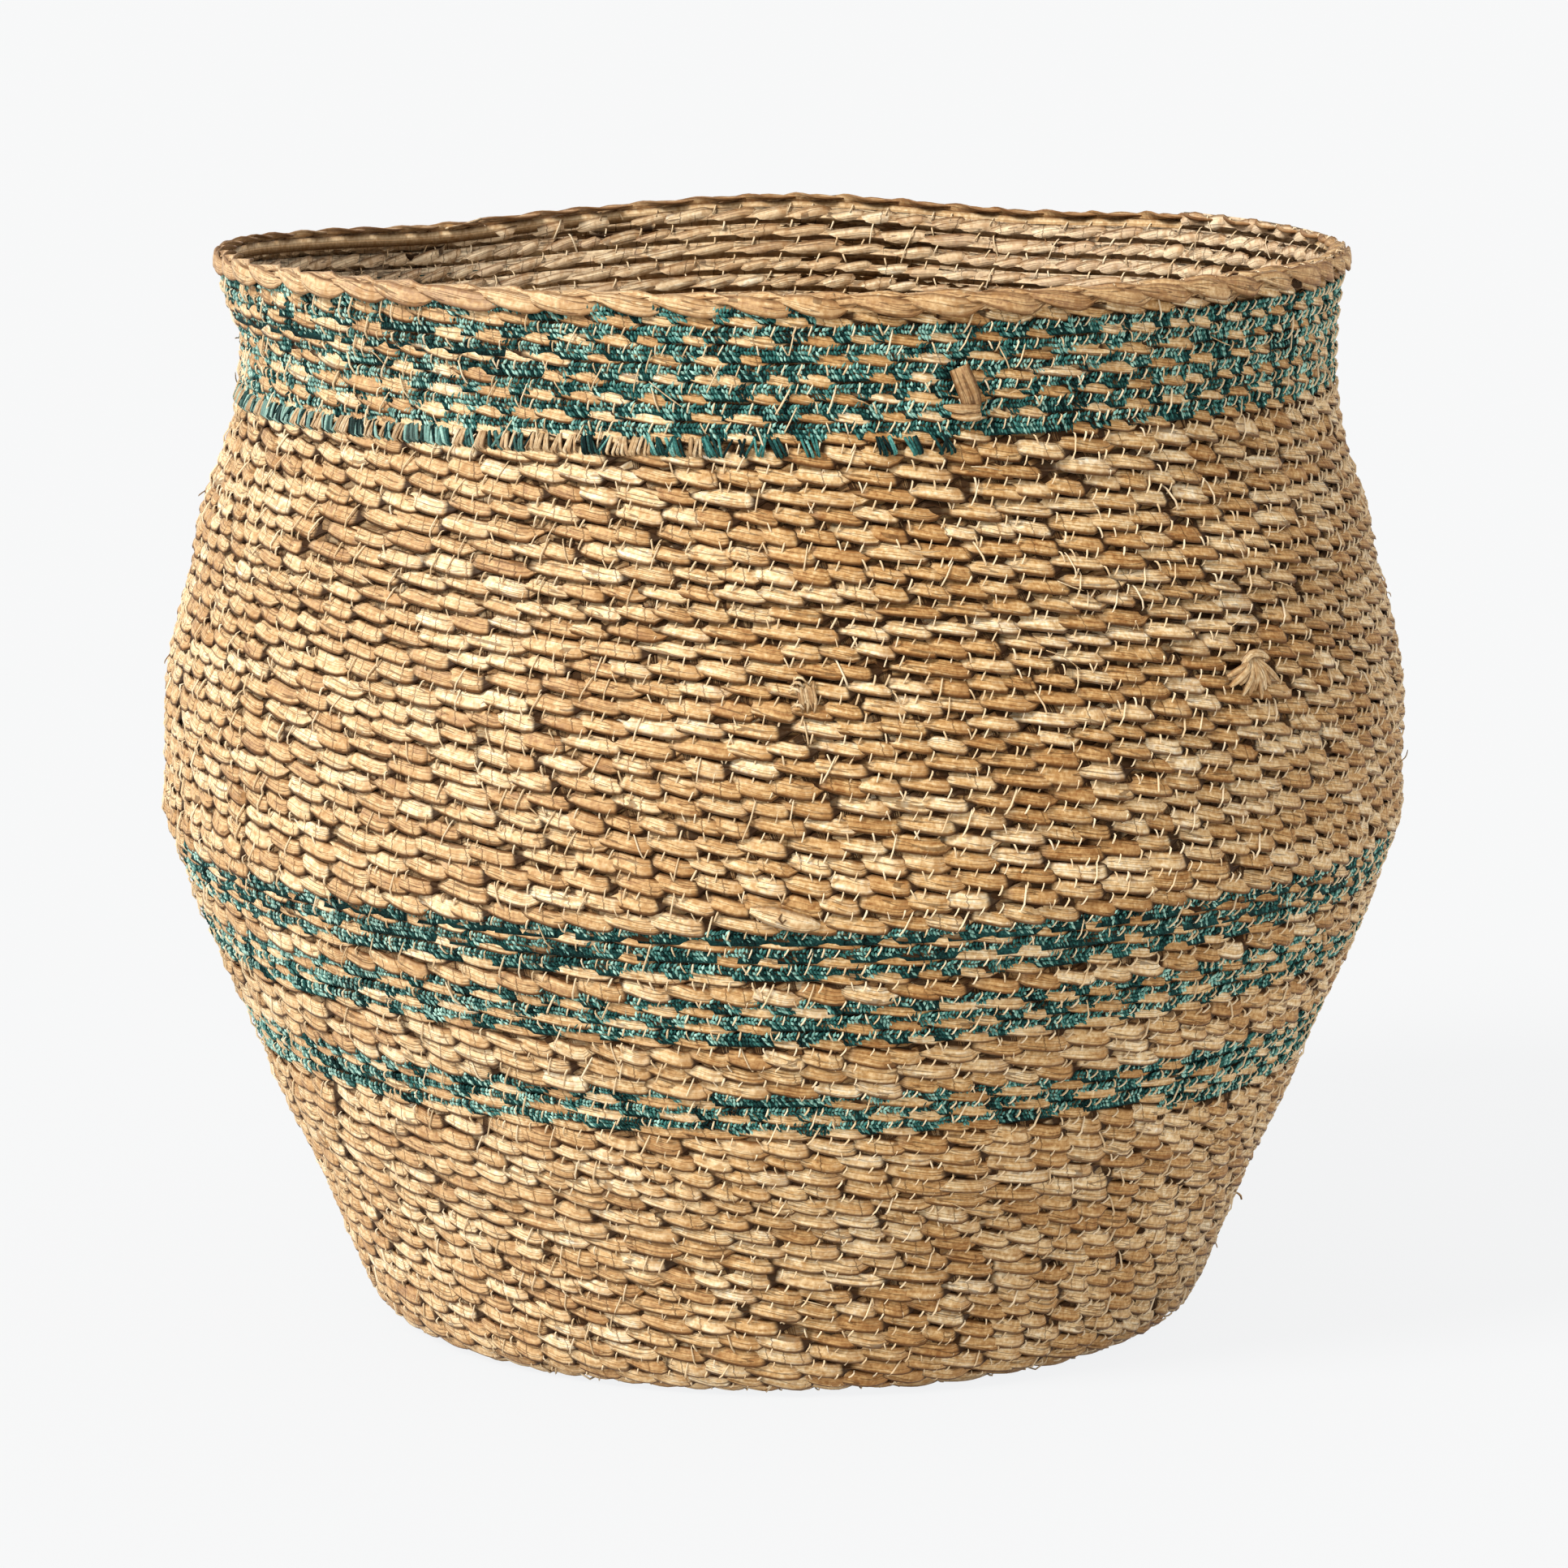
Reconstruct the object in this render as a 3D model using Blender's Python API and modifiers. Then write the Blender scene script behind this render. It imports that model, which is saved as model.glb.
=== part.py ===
"""Belly basket: one flat plait of seagrass, coiled course upon course and sewn.

The plait starts in a button in the middle of the base, winds outwards to the heel and
then climbs the wall anticlockwise, one course a turn, to the rim. Each length of plait
that is natural or teal, or that is joined to the next by a splice, is a solid of its own.
A course is lapped: its lower lip stands proud of the course below it.
The origin is the middle of the base, on the floor, with +Z up.
"""

import math

import bmesh
import bpy
import numpy as np

# Outer outline, from the floor to the rim, in metres
BASE_RADIUS = 0.117
HEEL_RADIUS = 0.133
HEEL_HEIGHT = 0.0165
BELLY_RADIUS = 0.190
BELLY_RISE = 0.1695
NECK_RADIUS = 0.168
NECK_RISE = 0.1085
RIM_FLARE = 0.0038
RIM_RISE = 0.0337

# The plait and the wall that it makes
COURSE_PITCH = 0.00545
WALL_THICKNESS = 0.0045
GROOVE_DEPTH = 0.0011
RIM_HEIGHT = 0.0080
RIM_THICKNESS = 0.0072
JOIN_GAP = 0.0003

# Handles of the outline's curves, as shares of the height or width that each curve spans
HEEL_FLOOR_SHARE = 0.50
HEEL_WALL_SHARE = 0.60
WALL_SLOPE_SHARE = 1.15
LOWER_WALL_SHARE = 0.64
BELLY_SHARE = 0.36
SHOULDER_SHARE = 1 / 3
FLARE_SHARE = 1 / 3

# A lip's place on its course, up from the groove below it
LIP_SHARE = 0.22

# Counts, and how square the rim's rounded section is
STEPS_PER_TURN = 28
SEAM_STEP = -3
BUTTON_TURNS = 1
TAPER_STEPS = 3
OUTLINE_SAMPLES = 80
RIM_SECTION_POINTS = 12
RIM_SQUARENESS = 2.6

# Points this close are one, and edges sharper than this stay sharp
MERGE_DISTANCE = 0.00003
SHARP_ANGLE = math.radians(30)

# The lengths of plait from the base up, and where each ends as a share of the wall's turns
PLAITS = (
    "heel_coil", "lower_wall_coil", "lower_teal_band", "lower_spacer_coil", "middle_teal_band",
    "upper_spacer_coil", "upper_teal_band", "belly_coil_lower", "belly_coil_upper",
    "tufted_course", "neck_teal_band",
)
PLAIT_END_SHARES = (
    0.0639, 0.2716, 0.3195, 0.3742, 0.4153,
    0.4398, 0.4792, 0.6844, 0.8604,
    0.8892, 1.0,
)
TEAL_PLAITS = {"lower_teal_band", "middle_teal_band", "upper_teal_band", "neck_teal_band"}

# The fan of strand ends that a splice leaves on the belly
FAN_AZIMUTH = math.radians(-43.6)
FAN_TOP_HEIGHT = 0.2245
FAN_LENGTH = 0.0205
FAN_HEAD_WIDTH = 0.0055
FAN_FOOT_WIDTH = 0.0190
FAN_THICKNESS = 0.0018

# The short bound knot where two lengths of plait meet on the belly
KNOT_AZIMUTH = math.radians(-88.0)
KNOT_TOP_HEIGHT = 0.2222
KNOT_LENGTH = 0.0095
KNOT_WIDTH = 0.0042
KNOT_THICKNESS = 0.0016

# The strand end that is folded down over the neck
NECK_STRAND_AZIMUTH = math.radians(-72.7)
NECK_STRAND_TOP_HEIGHT = 0.3082
NECK_STRAND_LENGTH = 0.0160
NECK_STRAND_WIDTH = 0.0085
NECK_STRAND_THICKNESS = 0.0014

# The strand end that stands on top of the rim
RIM_STRAND_AZIMUTH = math.radians(128.0)
RIM_STRAND_LENGTH = 0.0085
RIM_STRAND_WIDTH = 0.0034
RIM_STRAND_THICKNESS = 0.0010
RIM_STRAND_TIP_SHARE = 0.5

# Rows and columns of a small piece that lies on the wall or on the rim
PATCH_ROWS = 5
PATCH_COLUMNS = 4
STRAND_COLUMNS = 2

# Colours and roughnesses of the finishes
SEAGRASS_COLOUR = (0.60, 0.43, 0.26)
SEAGRASS_ROUGHNESS = 0.72
TEAL_PLAIT_COLOUR = (0.16, 0.36, 0.35)
TEAL_PLAIT_ROUGHNESS = 0.80
STRAND_END_COLOUR = (0.50, 0.33, 0.17)
STRAND_END_ROUGHNESS = 0.70


def clear_scene():
    """Start from an empty scene."""
    for item in list(bpy.data.objects):
        bpy.data.objects.remove(item, do_unlink=True)


def bezier(start, first_handle, second_handle, end):
    """Points along one cubic curve."""
    share = np.linspace(0.0, 1.0, OUTLINE_SAMPLES)[:, None]
    rest = 1 - share
    near_start = rest ** 3 * start + 3 * rest ** 2 * share * first_handle
    near_end = 3 * rest * share ** 2 * second_handle + share ** 3 * end
    return near_start + near_end


class Outline:
    """The outer face as a line of radius and height, from the base's middle to the rim's top."""

    def __init__(self):
        middle = np.array([0.0, 0.0])
        edge = np.array([BASE_RADIUS, 0.0])
        heel = np.array([HEEL_RADIUS, HEEL_HEIGHT])
        belly = np.array([BELLY_RADIUS, HEEL_HEIGHT + BELLY_RISE])
        neck = np.array([NECK_RADIUS, belly[1] + NECK_RISE])
        rim = np.array([NECK_RADIUS + RIM_FLARE, neck[1] + RIM_RISE])
        out = np.array([1.0, 0.0])
        up = np.array([0.0, 1.0])
        slope = WALL_SLOPE_SHARE * (BELLY_RADIUS - HEEL_RADIUS) / BELLY_RISE
        leaning = up + slope * out
        flare = up + 2 * RIM_FLARE / RIM_RISE * out
        floor_handle = HEEL_FLOOR_SHARE * (HEEL_RADIUS - BASE_RADIUS) * out
        curves = [
            np.linspace(middle, edge, OUTLINE_SAMPLES),
            bezier(edge, edge + floor_handle, heel - HEEL_WALL_SHARE * HEEL_HEIGHT * leaning, heel),
            bezier(heel, heel + LOWER_WALL_SHARE * BELLY_RISE * leaning,
                   belly - BELLY_SHARE * BELLY_RISE * up, belly),
            bezier(belly, belly + SHOULDER_SHARE * NECK_RISE * up,
                   neck - SHOULDER_SHARE * NECK_RISE * up, neck),
            bezier(neck, neck + FLARE_SHARE * RIM_RISE * up, rim - FLARE_SHARE * RIM_RISE * flare, rim),
        ]
        self.points = np.concatenate([curves[0]] + [curve[1:] for curve in curves[1:]])
        runs = np.linalg.norm(np.diff(self.points, axis=0), axis=1)
        self.lengths = np.concatenate([[0.0], np.cumsum(runs)])
        self.tangents = np.gradient(self.points, self.lengths, axis=0)
        self.top = rim[1]

    def length_at_height(self, height):
        """Length along the outline to a height on the wall."""
        return float(np.interp(height, self.points[:, 1], self.lengths))

    def at(self, length, depth):
        """Radius and height of a point that lies a depth inside the outer face."""
        radius, height = (np.interp(length, self.lengths, self.points[:, axis]) for axis in (0, 1))
        along = np.array([np.interp(length, self.lengths, self.tangents[:, axis]) for axis in (0, 1)])
        along = along / np.linalg.norm(along)
        return radius - depth * along[1], height + depth * along[0]


class Coil:
    """The plait's helix, in steps along it. A step up one whole turn is one course higher."""

    def __init__(self, outline):
        self.outline = outline
        self.wall_top = outline.length_at_height(outline.top - RIM_HEIGHT)
        wall_turns = (self.wall_top - BASE_RADIUS) / COURSE_PITCH
        self.wall_steps = round(wall_turns * STEPS_PER_TURN)
        self.base_steps = round(BASE_RADIUS / COURSE_PITCH * STEPS_PER_TURN)
        self.base_pitch = BASE_RADIUS / self.base_steps
        self.wall_pitch = (self.wall_top - BASE_RADIUS) / self.wall_steps

    def length(self, step):
        """Length along the outline to the groove under the plait at this step."""
        if step <= self.base_steps:
            return step * self.base_pitch
        return min(BASE_RADIUS + (step - self.base_steps) * self.wall_pitch, self.wall_top)

    def angle(self, step):
        """Azimuth of a step, from +X towards +Y."""
        return math.tau * (SEAM_STEP + step - self.base_steps) / STEPS_PER_TURN

    def place(self, step, length, depth, along=0.0):
        """A point of the plait, moved along it if asked."""
        radius, height = self.outline.at(length, depth)
        angle = self.angle(step) + along / radius
        return radius * math.cos(angle), radius * math.sin(angle), height


def coil_length(coil, first, last, grooved_inside):
    """One length of plait as a closed solid: its turns are sewn to each other, so they are one."""
    mesh = bmesh.new()
    turn = STEPS_PER_TURN
    half_gap = JOIN_GAP / 2
    outside_groove = 0.0 if grooved_inside else GROOVE_DEPTH
    inside_groove = WALL_THICKNESS - (GROOVE_DEPTH if grooved_inside else 0.0)

    def lifted(step):
        if step <= first + turn:
            return coil.length(step) + half_gap
        if step >= last:
            return coil.length(step) - half_gap
        return coil.length(step)

    def pushed(step):
        if step in (first, first + turn):
            return half_gap
        if step in (last, last + turn):
            return -half_gap
        return 0.0

    def line(steps, depth):
        return {step: mesh.verts.new(coil.place(step, lifted(step), depth, pushed(step))) for step in steps}

    def lip_line(groove, crest):
        verts = {}
        for step in range(first, last + 1):
            rise = lifted(step + turn) - lifted(step)
            fullness = min(rise / COURSE_PITCH, 1)
            depth = groove + (crest - groove) * fullness
            verts[step] = mesh.verts.new(coil.place(step, lifted(step) + LIP_SHARE * rise, depth, pushed(step)))
        return verts

    outer = line(range(first, last + turn + 1), outside_groove)
    inner = line(range(first, last + turn + 1), inside_groove)
    lip = None if grooved_inside else lip_line(outside_groove, 0.0)
    crest = lip_line(inside_groove, WALL_THICKNESS) if grooved_inside else None

    for step in range(first, last):
        above = step + turn
        if lip:
            mesh.faces.new((outer[step], outer[step + 1], lip[step + 1], lip[step]))
            mesh.faces.new((lip[step], lip[step + 1], outer[above + 1], outer[above]))
        else:
            mesh.faces.new((outer[step], outer[step + 1], outer[above + 1], outer[above]))
        if crest:
            mesh.faces.new((inner[step + 1], inner[step], crest[step], crest[step + 1]))
            mesh.faces.new((crest[step + 1], crest[step], inner[above], inner[above + 1]))
        else:
            mesh.faces.new((inner[step + 1], inner[step], inner[above], inner[above + 1]))
    for step in range(first, first + turn):
        mesh.faces.new((inner[step], inner[step + 1], outer[step + 1], outer[step]))
    for step in range(last, last + turn):
        mesh.faces.new((outer[step], outer[step + 1], inner[step + 1], inner[step]))

    def end_face(step):
        face = [outer[step]]
        if lip:
            face.append(lip[step])
        face += [outer[step + turn], inner[step + turn]]
        if crest:
            face.append(crest[step])
        face.append(inner[step])
        return face

    mesh.faces.new(end_face(first))
    mesh.faces.new(reversed(end_face(last)))
    return mesh


def button(coil, last):
    """The plait's start: its first turn, wound tight and filled to the middle."""
    mesh = bmesh.new()
    turn = STEPS_PER_TURN
    half_gap = JOIN_GAP / 2
    steps = range(last, last + turn + 1)

    def pushed(step):
        return -half_gap if step in (last, last + turn) else 0.0

    floor = {step: mesh.verts.new(coil.place(step, coil.length(step) - half_gap, 0.0, pushed(step)))
             for step in steps}
    top_depth = WALL_THICKNESS - GROOVE_DEPTH
    top = {step: mesh.verts.new(coil.place(step, coil.length(step) - half_gap, top_depth, pushed(step)))
           for step in steps}
    floor_middle = mesh.verts.new((0.0, 0.0, 0.0))
    top_middle = mesh.verts.new((0.0, 0.0, WALL_THICKNESS))
    for step in range(last, last + turn):
        mesh.faces.new((floor_middle, floor[step + 1], floor[step]))
        mesh.faces.new((top_middle, top[step], top[step + 1]))
        mesh.faces.new((floor[step], floor[step + 1], top[step + 1], top[step]))
    mesh.faces.new((floor_middle, floor[last], top[last], top_middle))
    mesh.faces.new((floor_middle, top_middle, top[last + turn], floor[last + turn]))
    return mesh


def on_the_flats(azimuth):
    """Share of the true radius at which the wall's flat facets lie at an azimuth."""
    facet = math.tau / STEPS_PER_TURN
    offset = azimuth % facet - facet / 2
    return math.cos(facet / 2) / math.cos(offset)


def wall_patch(coil, azimuth, top_height, length, head_width, foot_width):
    """An open sheet that lies on the wall's lips, hanging down from a height."""
    mesh = bmesh.new()
    bmesh.ops.create_grid(mesh, x_segments=PATCH_COLUMNS, y_segments=PATCH_ROWS, size=1)
    top_length = coil.outline.length_at_height(top_height)
    for vert in mesh.verts:
        across, up = vert.co.x, vert.co.y
        down_share = (1 - up) / 2
        width = head_width + (foot_width - head_width) * down_share
        radius, height = coil.outline.at(top_length - length * down_share, -JOIN_GAP)
        angle = azimuth + across * width / 2 / radius
        radius *= on_the_flats(angle)
        vert.co = (radius * math.cos(angle), radius * math.sin(angle), height)
    bmesh.ops.recalc_face_normals(mesh, faces=mesh.faces)
    outwards = sum(face.normal.dot(face.calc_center_median()) for face in mesh.faces)
    if outwards < 0:
        bmesh.ops.reverse_faces(mesh, faces=mesh.faces)
    return mesh


def rim_section():
    """Half-width and half-height points of the rim's rounded section, clockwise from the top."""
    points = []
    for index in range(RIM_SECTION_POINTS):
        turn_angle = math.tau * index / RIM_SECTION_POINTS
        across, up = math.sin(turn_angle), math.cos(turn_angle)
        fullness = (abs(across) ** RIM_SQUARENESS + abs(up) ** RIM_SQUARENESS) ** (-1 / RIM_SQUARENESS)
        points.append((across * fullness, up * fullness))
    return points


def rim_ring(coil):
    """The plait that finishes the rim, as a section that a screw turns once round."""
    mesh = bmesh.new()
    centre_radius = NECK_RADIUS + RIM_FLARE - RIM_THICKNESS / 2
    half_height = (RIM_HEIGHT - JOIN_GAP) / 2
    centre_height = coil.outline.top - half_height
    verts = []
    for across, up in rim_section():
        place = (centre_radius + across * RIM_THICKNESS / 2, 0.0, centre_height + up * half_height)
        verts.append(mesh.verts.new(place))
    for index, vert in enumerate(verts):
        mesh.edges.new((vert, verts[(index + 1) % len(verts)]))
    return mesh


def rim_strand(coil):
    """A leaf-shaped strand end that lies along the top of the rim."""
    mesh = bmesh.new()
    bmesh.ops.create_grid(mesh, x_segments=PATCH_ROWS, y_segments=STRAND_COLUMNS, size=1)
    centre_radius = NECK_RADIUS + RIM_FLARE - RIM_THICKNESS / 2
    for vert in mesh.verts:
        along, across = vert.co.x, vert.co.y
        width = RIM_STRAND_WIDTH * (1 - (1 - RIM_STRAND_TIP_SHARE) * abs(along))
        radius = centre_radius + across * width / 2
        angle = RIM_STRAND_AZIMUTH + along * RIM_STRAND_LENGTH / 2 / centre_radius
        radius *= on_the_flats(angle)
        height = coil.outline.top + JOIN_GAP
        vert.co = (radius * math.cos(angle), radius * math.sin(angle), height)
    bmesh.ops.recalc_face_normals(mesh, faces=mesh.faces)
    if sum(face.normal.z for face in mesh.faces) < 0:
        bmesh.ops.reverse_faces(mesh, faces=mesh.faces)
    return mesh


def finish_material(name, colour, roughness):
    """A plain material of one colour."""
    material = bpy.data.materials.new(name)
    material.use_nodes = True
    shader = material.node_tree.nodes["Principled BSDF"]
    shader.inputs["Base Color"].default_value = (*colour, 1.0)
    shader.inputs["Roughness"].default_value = roughness
    shader.inputs["Metallic"].default_value = 0.0
    return material


def add_piece(collection, name, mesh, material):
    """Put a mesh in the scene as one named piece."""
    data = bpy.data.meshes.new(name)
    mesh.to_mesh(data)
    mesh.free()
    data.materials.append(material)
    piece = bpy.data.objects.new(name, data)
    collection.objects.link(piece)
    data.shade_smooth()
    data.set_sharp_from_angle(angle=SHARP_ANGLE)
    return piece


def thicken(piece, thickness):
    """Give an open sheet a wall on its outer side."""
    solidify = piece.modifiers.new("thickness", "SOLIDIFY")
    solidify.thickness = thickness
    solidify.offset = 1.0


def turn_round(piece):
    """Turn a section once round the basket's axis."""
    screw = piece.modifiers.new("turn", "SCREW")
    screw.axis = "Z"
    screw.angle = math.tau
    screw.steps = STEPS_PER_TURN
    screw.render_steps = STEPS_PER_TURN
    screw.use_merge_vertices = True
    screw.merge_threshold = MERGE_DISTANCE
    screw.use_smooth_shade = True


def build():
    """Make every piece of the basket."""
    clear_scene()
    collection = bpy.data.collections.new("belly_basket")
    bpy.context.scene.collection.children.link(collection)
    seagrass = finish_material("seagrass", SEAGRASS_COLOUR, SEAGRASS_ROUGHNESS)
    teal_plait = finish_material("teal_plait", TEAL_PLAIT_COLOUR, TEAL_PLAIT_ROUGHNESS)
    strand_end = finish_material("strand_end", STRAND_END_COLOUR, STRAND_END_ROUGHNESS)
    coil = Coil(Outline())

    button_steps = BUTTON_TURNS * STEPS_PER_TURN
    add_piece(collection, "base_start_button", button(coil, button_steps), seagrass)
    base = coil_length(coil, button_steps, coil.base_steps, grooved_inside=True)
    add_piece(collection, "base_coil", base, seagrass)

    first = coil.base_steps
    for name, end_share in zip(PLAITS, PLAIT_END_SHARES):
        last = coil.base_steps + round(end_share * coil.wall_steps)
        last = min(last, coil.base_steps + coil.wall_steps - TAPER_STEPS)
        material = teal_plait if name in TEAL_PLAITS else seagrass
        add_piece(collection, name, coil_length(coil, first, last, grooved_inside=False), material)
        first = last

    rim = add_piece(collection, "rim_plait", rim_ring(coil), seagrass)
    turn_round(rim)

    fan = wall_patch(coil, FAN_AZIMUTH, FAN_TOP_HEIGHT, FAN_LENGTH, FAN_HEAD_WIDTH, FAN_FOOT_WIDTH)
    thicken(add_piece(collection, "splice_fan", fan, strand_end), FAN_THICKNESS)
    knot = wall_patch(coil, KNOT_AZIMUTH, KNOT_TOP_HEIGHT, KNOT_LENGTH, KNOT_WIDTH, KNOT_WIDTH)
    thicken(add_piece(collection, "splice_knot", knot, strand_end), KNOT_THICKNESS)
    folded = wall_patch(coil, NECK_STRAND_AZIMUTH, NECK_STRAND_TOP_HEIGHT, NECK_STRAND_LENGTH,
                        NECK_STRAND_WIDTH, NECK_STRAND_WIDTH)
    thicken(add_piece(collection, "neck_strand_end", folded, strand_end), NECK_STRAND_THICKNESS)
    standing = rim_strand(coil)
    thicken(add_piece(collection, "rim_strand_end", standing, strand_end), RIM_STRAND_THICKNESS)


build()
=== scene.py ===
"""Belly basket: the plait, its sewing thread and the teal yarn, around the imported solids.

Every length of plait is three flat strands of seagrass that cross as in a braid. The lower
half of each course laps over the upper half of the course below it, so that only strands
that slope down to the right show outside. A pale thread sews course to course. In the teal
bands, rows of teal yarn fill the spaces between the strands.
"""

import math

import bpy
import numpy as np
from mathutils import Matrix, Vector


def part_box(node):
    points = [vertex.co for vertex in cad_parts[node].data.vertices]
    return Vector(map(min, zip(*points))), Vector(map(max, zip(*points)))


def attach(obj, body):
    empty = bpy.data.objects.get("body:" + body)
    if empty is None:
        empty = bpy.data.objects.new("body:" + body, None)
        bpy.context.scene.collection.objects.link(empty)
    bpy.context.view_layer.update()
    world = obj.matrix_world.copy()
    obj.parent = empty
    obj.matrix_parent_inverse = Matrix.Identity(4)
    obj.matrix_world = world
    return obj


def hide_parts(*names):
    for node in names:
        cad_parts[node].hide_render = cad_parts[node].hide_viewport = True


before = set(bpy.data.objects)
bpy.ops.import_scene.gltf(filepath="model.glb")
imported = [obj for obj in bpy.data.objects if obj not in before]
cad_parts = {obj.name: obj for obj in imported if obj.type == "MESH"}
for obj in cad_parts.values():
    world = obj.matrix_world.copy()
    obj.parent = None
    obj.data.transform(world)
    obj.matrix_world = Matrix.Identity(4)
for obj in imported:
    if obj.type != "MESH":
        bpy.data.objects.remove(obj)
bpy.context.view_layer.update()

MM = 0.001

# The outline of the wall, as the solids have it
BASE_RADIUS = 117.0 * MM
HEEL_RADIUS = 133.0 * MM
HEEL_HEIGHT = 16.5 * MM
BELLY_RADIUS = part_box("belly_coil_lower")[1].y
BELLY_RISE = 169.5 * MM
NECK_RADIUS = 168.0 * MM
NECK_RISE = 108.5 * MM
RIM_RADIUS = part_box("rim_plait")[1].x
RIM_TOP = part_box("rim_plait")[1].z
RIM_HEIGHT = 8.0 * MM
HEEL_FLOOR_SHARE = 0.50
HEEL_WALL_SHARE = 0.60
WALL_SLOPE_SHARE = 1.15
LOWER_WALL_SHARE = 0.64
BELLY_SHARE = 0.36
SHOULDER_SHARE = 1 / 3
FLARE_SHARE = 1 / 3
OUTLINE_SAMPLES = 160
WAVE_SCALE = 14.0
WAVE_HEIGHT = 1.2 * MM

# How the real wall leaves its outline: swells as low, middle and high ends and depths in
# millimetres, and dips in the rim as azimuths, depths in millimetres and sharpness
SWELLS = ((48, 71, 95, 1.2), (138, 157, 175, 2.1), (232, 250, 268, 1.8))
DIPS = ((140, 5.2, 3.0), (35, 1.6, 2.0), (62, 2.6, 30), (92, -1.6, 30), (131, 1.6, 50), (170, -1.4, 20))
DIP_HEIGHTS = (255 * MM, 325 * MM)
SAG_DEPTH = 2.9 * MM
SAG_SHARPNESS = 5
SAG_LENGTHS = (170 * MM, 255 * MM, 345 * MM)
LEFT_NECK_DEPTH = 1.9 * MM
LEFT_NECK_HEIGHTS = (262 * MM, 284 * MM)
LEFT_RIM_REACH = 1.7 * MM
LEFT_RIM_HEIGHTS = (302 * MM, 318 * MM)

# The coil of the plait
COURSE_PITCH = 5.45 * MM
SEAM_ANGLE = math.radians(-38.57)
HELIX_STEPS = 64
BASE_START_TURN = 0.45
LAP_LIFT = 4.3 * MM
FACE_DEPTH = 2.3 * MM

# A plait of three strands. Its haste makes a strand's way down the course, where it shows,
# longer than its way back up
PLAIT_PERIOD = 38.0 * MM
STRAND_STEP = 2.25 * MM
STRAND_SWAY = 2.20 * MM
STRAND_LIFT = 0.60 * MM
STRAND_WIDTH = 5.5 * MM
STRAND_WIDTH_SHARES = (0.80, 1.14)
STRAND_HASTE = 0.55
STRAND_THICKNESS = 0.9 * MM
STRAND_NUDGE = 0.35 * MM
LAP_SLOPE = 0.31
LAP_SLOPE_SPREAD = 0.14
COVERED_SINK = 1.3 * MM
COVERED_NARROWING = 0.5
COVERED_SHADE = 0.9
TEAL_SWAY = 1.80 * MM
TEAL_DROP = 0.50 * MM
TEAL_SINK = 0.45 * MM
TEAL_WIDTH_SHARE = 0.69
NECK_WIDER_AT_LEFT = 0.30

# A lens is the leaf-shaped stretch of a strand that shows. These are the places along it where
# it widens and narrows, and the share of its width that is left at its tip
LENS_MIDDLE = (-0.09, 0.09)
LENS_TIP = (0.34, 0.43)
LENS_TIP_SHARE = 0.42
RIM_LENS_MIDDLE = (-0.08, 0.16)
RIM_LENS_TIP = (0.30, 0.44)
RIM_LENS_TIP_SHARE = 0.22

# How far the crossings drift from an even plait, in periods, and how often that changes
PLAIT_DRIFT = 1.6
PLAIT_DRIFT_SCALE = 7.0
STRAND_DRIFT = 0.4
STRAND_DRIFT_SCALE = 12.0

# The flat pith that closes the wall behind the strands. Its section spans half the width
# Its outer face takes the painted shade of the hollows, so that it shows dark in the gaps
PITH_STEP = 5.5 * MM
PITH_WIDTH = 13.6 * MM
PITH_THICKNESS = 0.5 * MM
PITH_RISE = 1.2 * MM
PITH_DEPTH = 2.95 * MM
PITH_TONE = 0.3

# The sewing thread, and the ways that it and the wraps run, from end to end: heights up the
# course and distances out of its face, in millimetres
STITCH_STEP = 5.6 * MM
INSIDE_STITCH_STEP = 2.2 * STITCH_STEP
THREAD_WIDTH = 0.62 * MM
THREAD_WIDTH_SHARES = (0.8, 1.2)
THREAD_LEAN = 0.36
LEAN_SPREAD = 0.22
RISE_SPREAD = 0.3 * MM
STEP_SPREAD = 0.3
OTHER_LEAN_SHARE = 0.16
LONG_STITCH_SHARE = 0.06
LONG_STITCH_SHARE_MORE_AT_LEFT = 0.16
DROPPED_SHARE_AT_LEFT = 0.55
SHORT_STITCH = ((-2.9, -1.5), (-3.3, -0.60), (-4.4, -0.70), (-5.6, -1.15), (-6.1, -2.0))
LONG_STITCH = ((1.9, -2.0), (0.8, -1.05), (-3.1, -0.05), (-5.2, -0.85), (-5.9, -2.2))
WRAP = ((4.3, -2.9), (3.5, -1.2), (1.5, -0.35), (-0.5, 0.15), (-1.4, -1.4))

# Tufts of yarn and of seagrass on the tufted course: their groups, and each kind's range in a
# group, right end, step and lean
TUFT_PERIOD = 14.0 * MM
TUFT_DRIFT = 4.0
TUFT_DRIFT_SCALE = 48.0
TUFT_THICKNESS = 1.1 * MM
TUFT_SHADE = 0.22
TUFT_WIDTH_SHARE = 0.95
FIRST_TUFT_TURN = 0.9
NATURAL_WRAPS = (0.50, 0.96, -20 * MM, 1.3 * MM, 0.15)
TEAL_TUFTS = (0.0, 0.50, 52 * MM, 0.9 * MM, -0.40)

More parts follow.
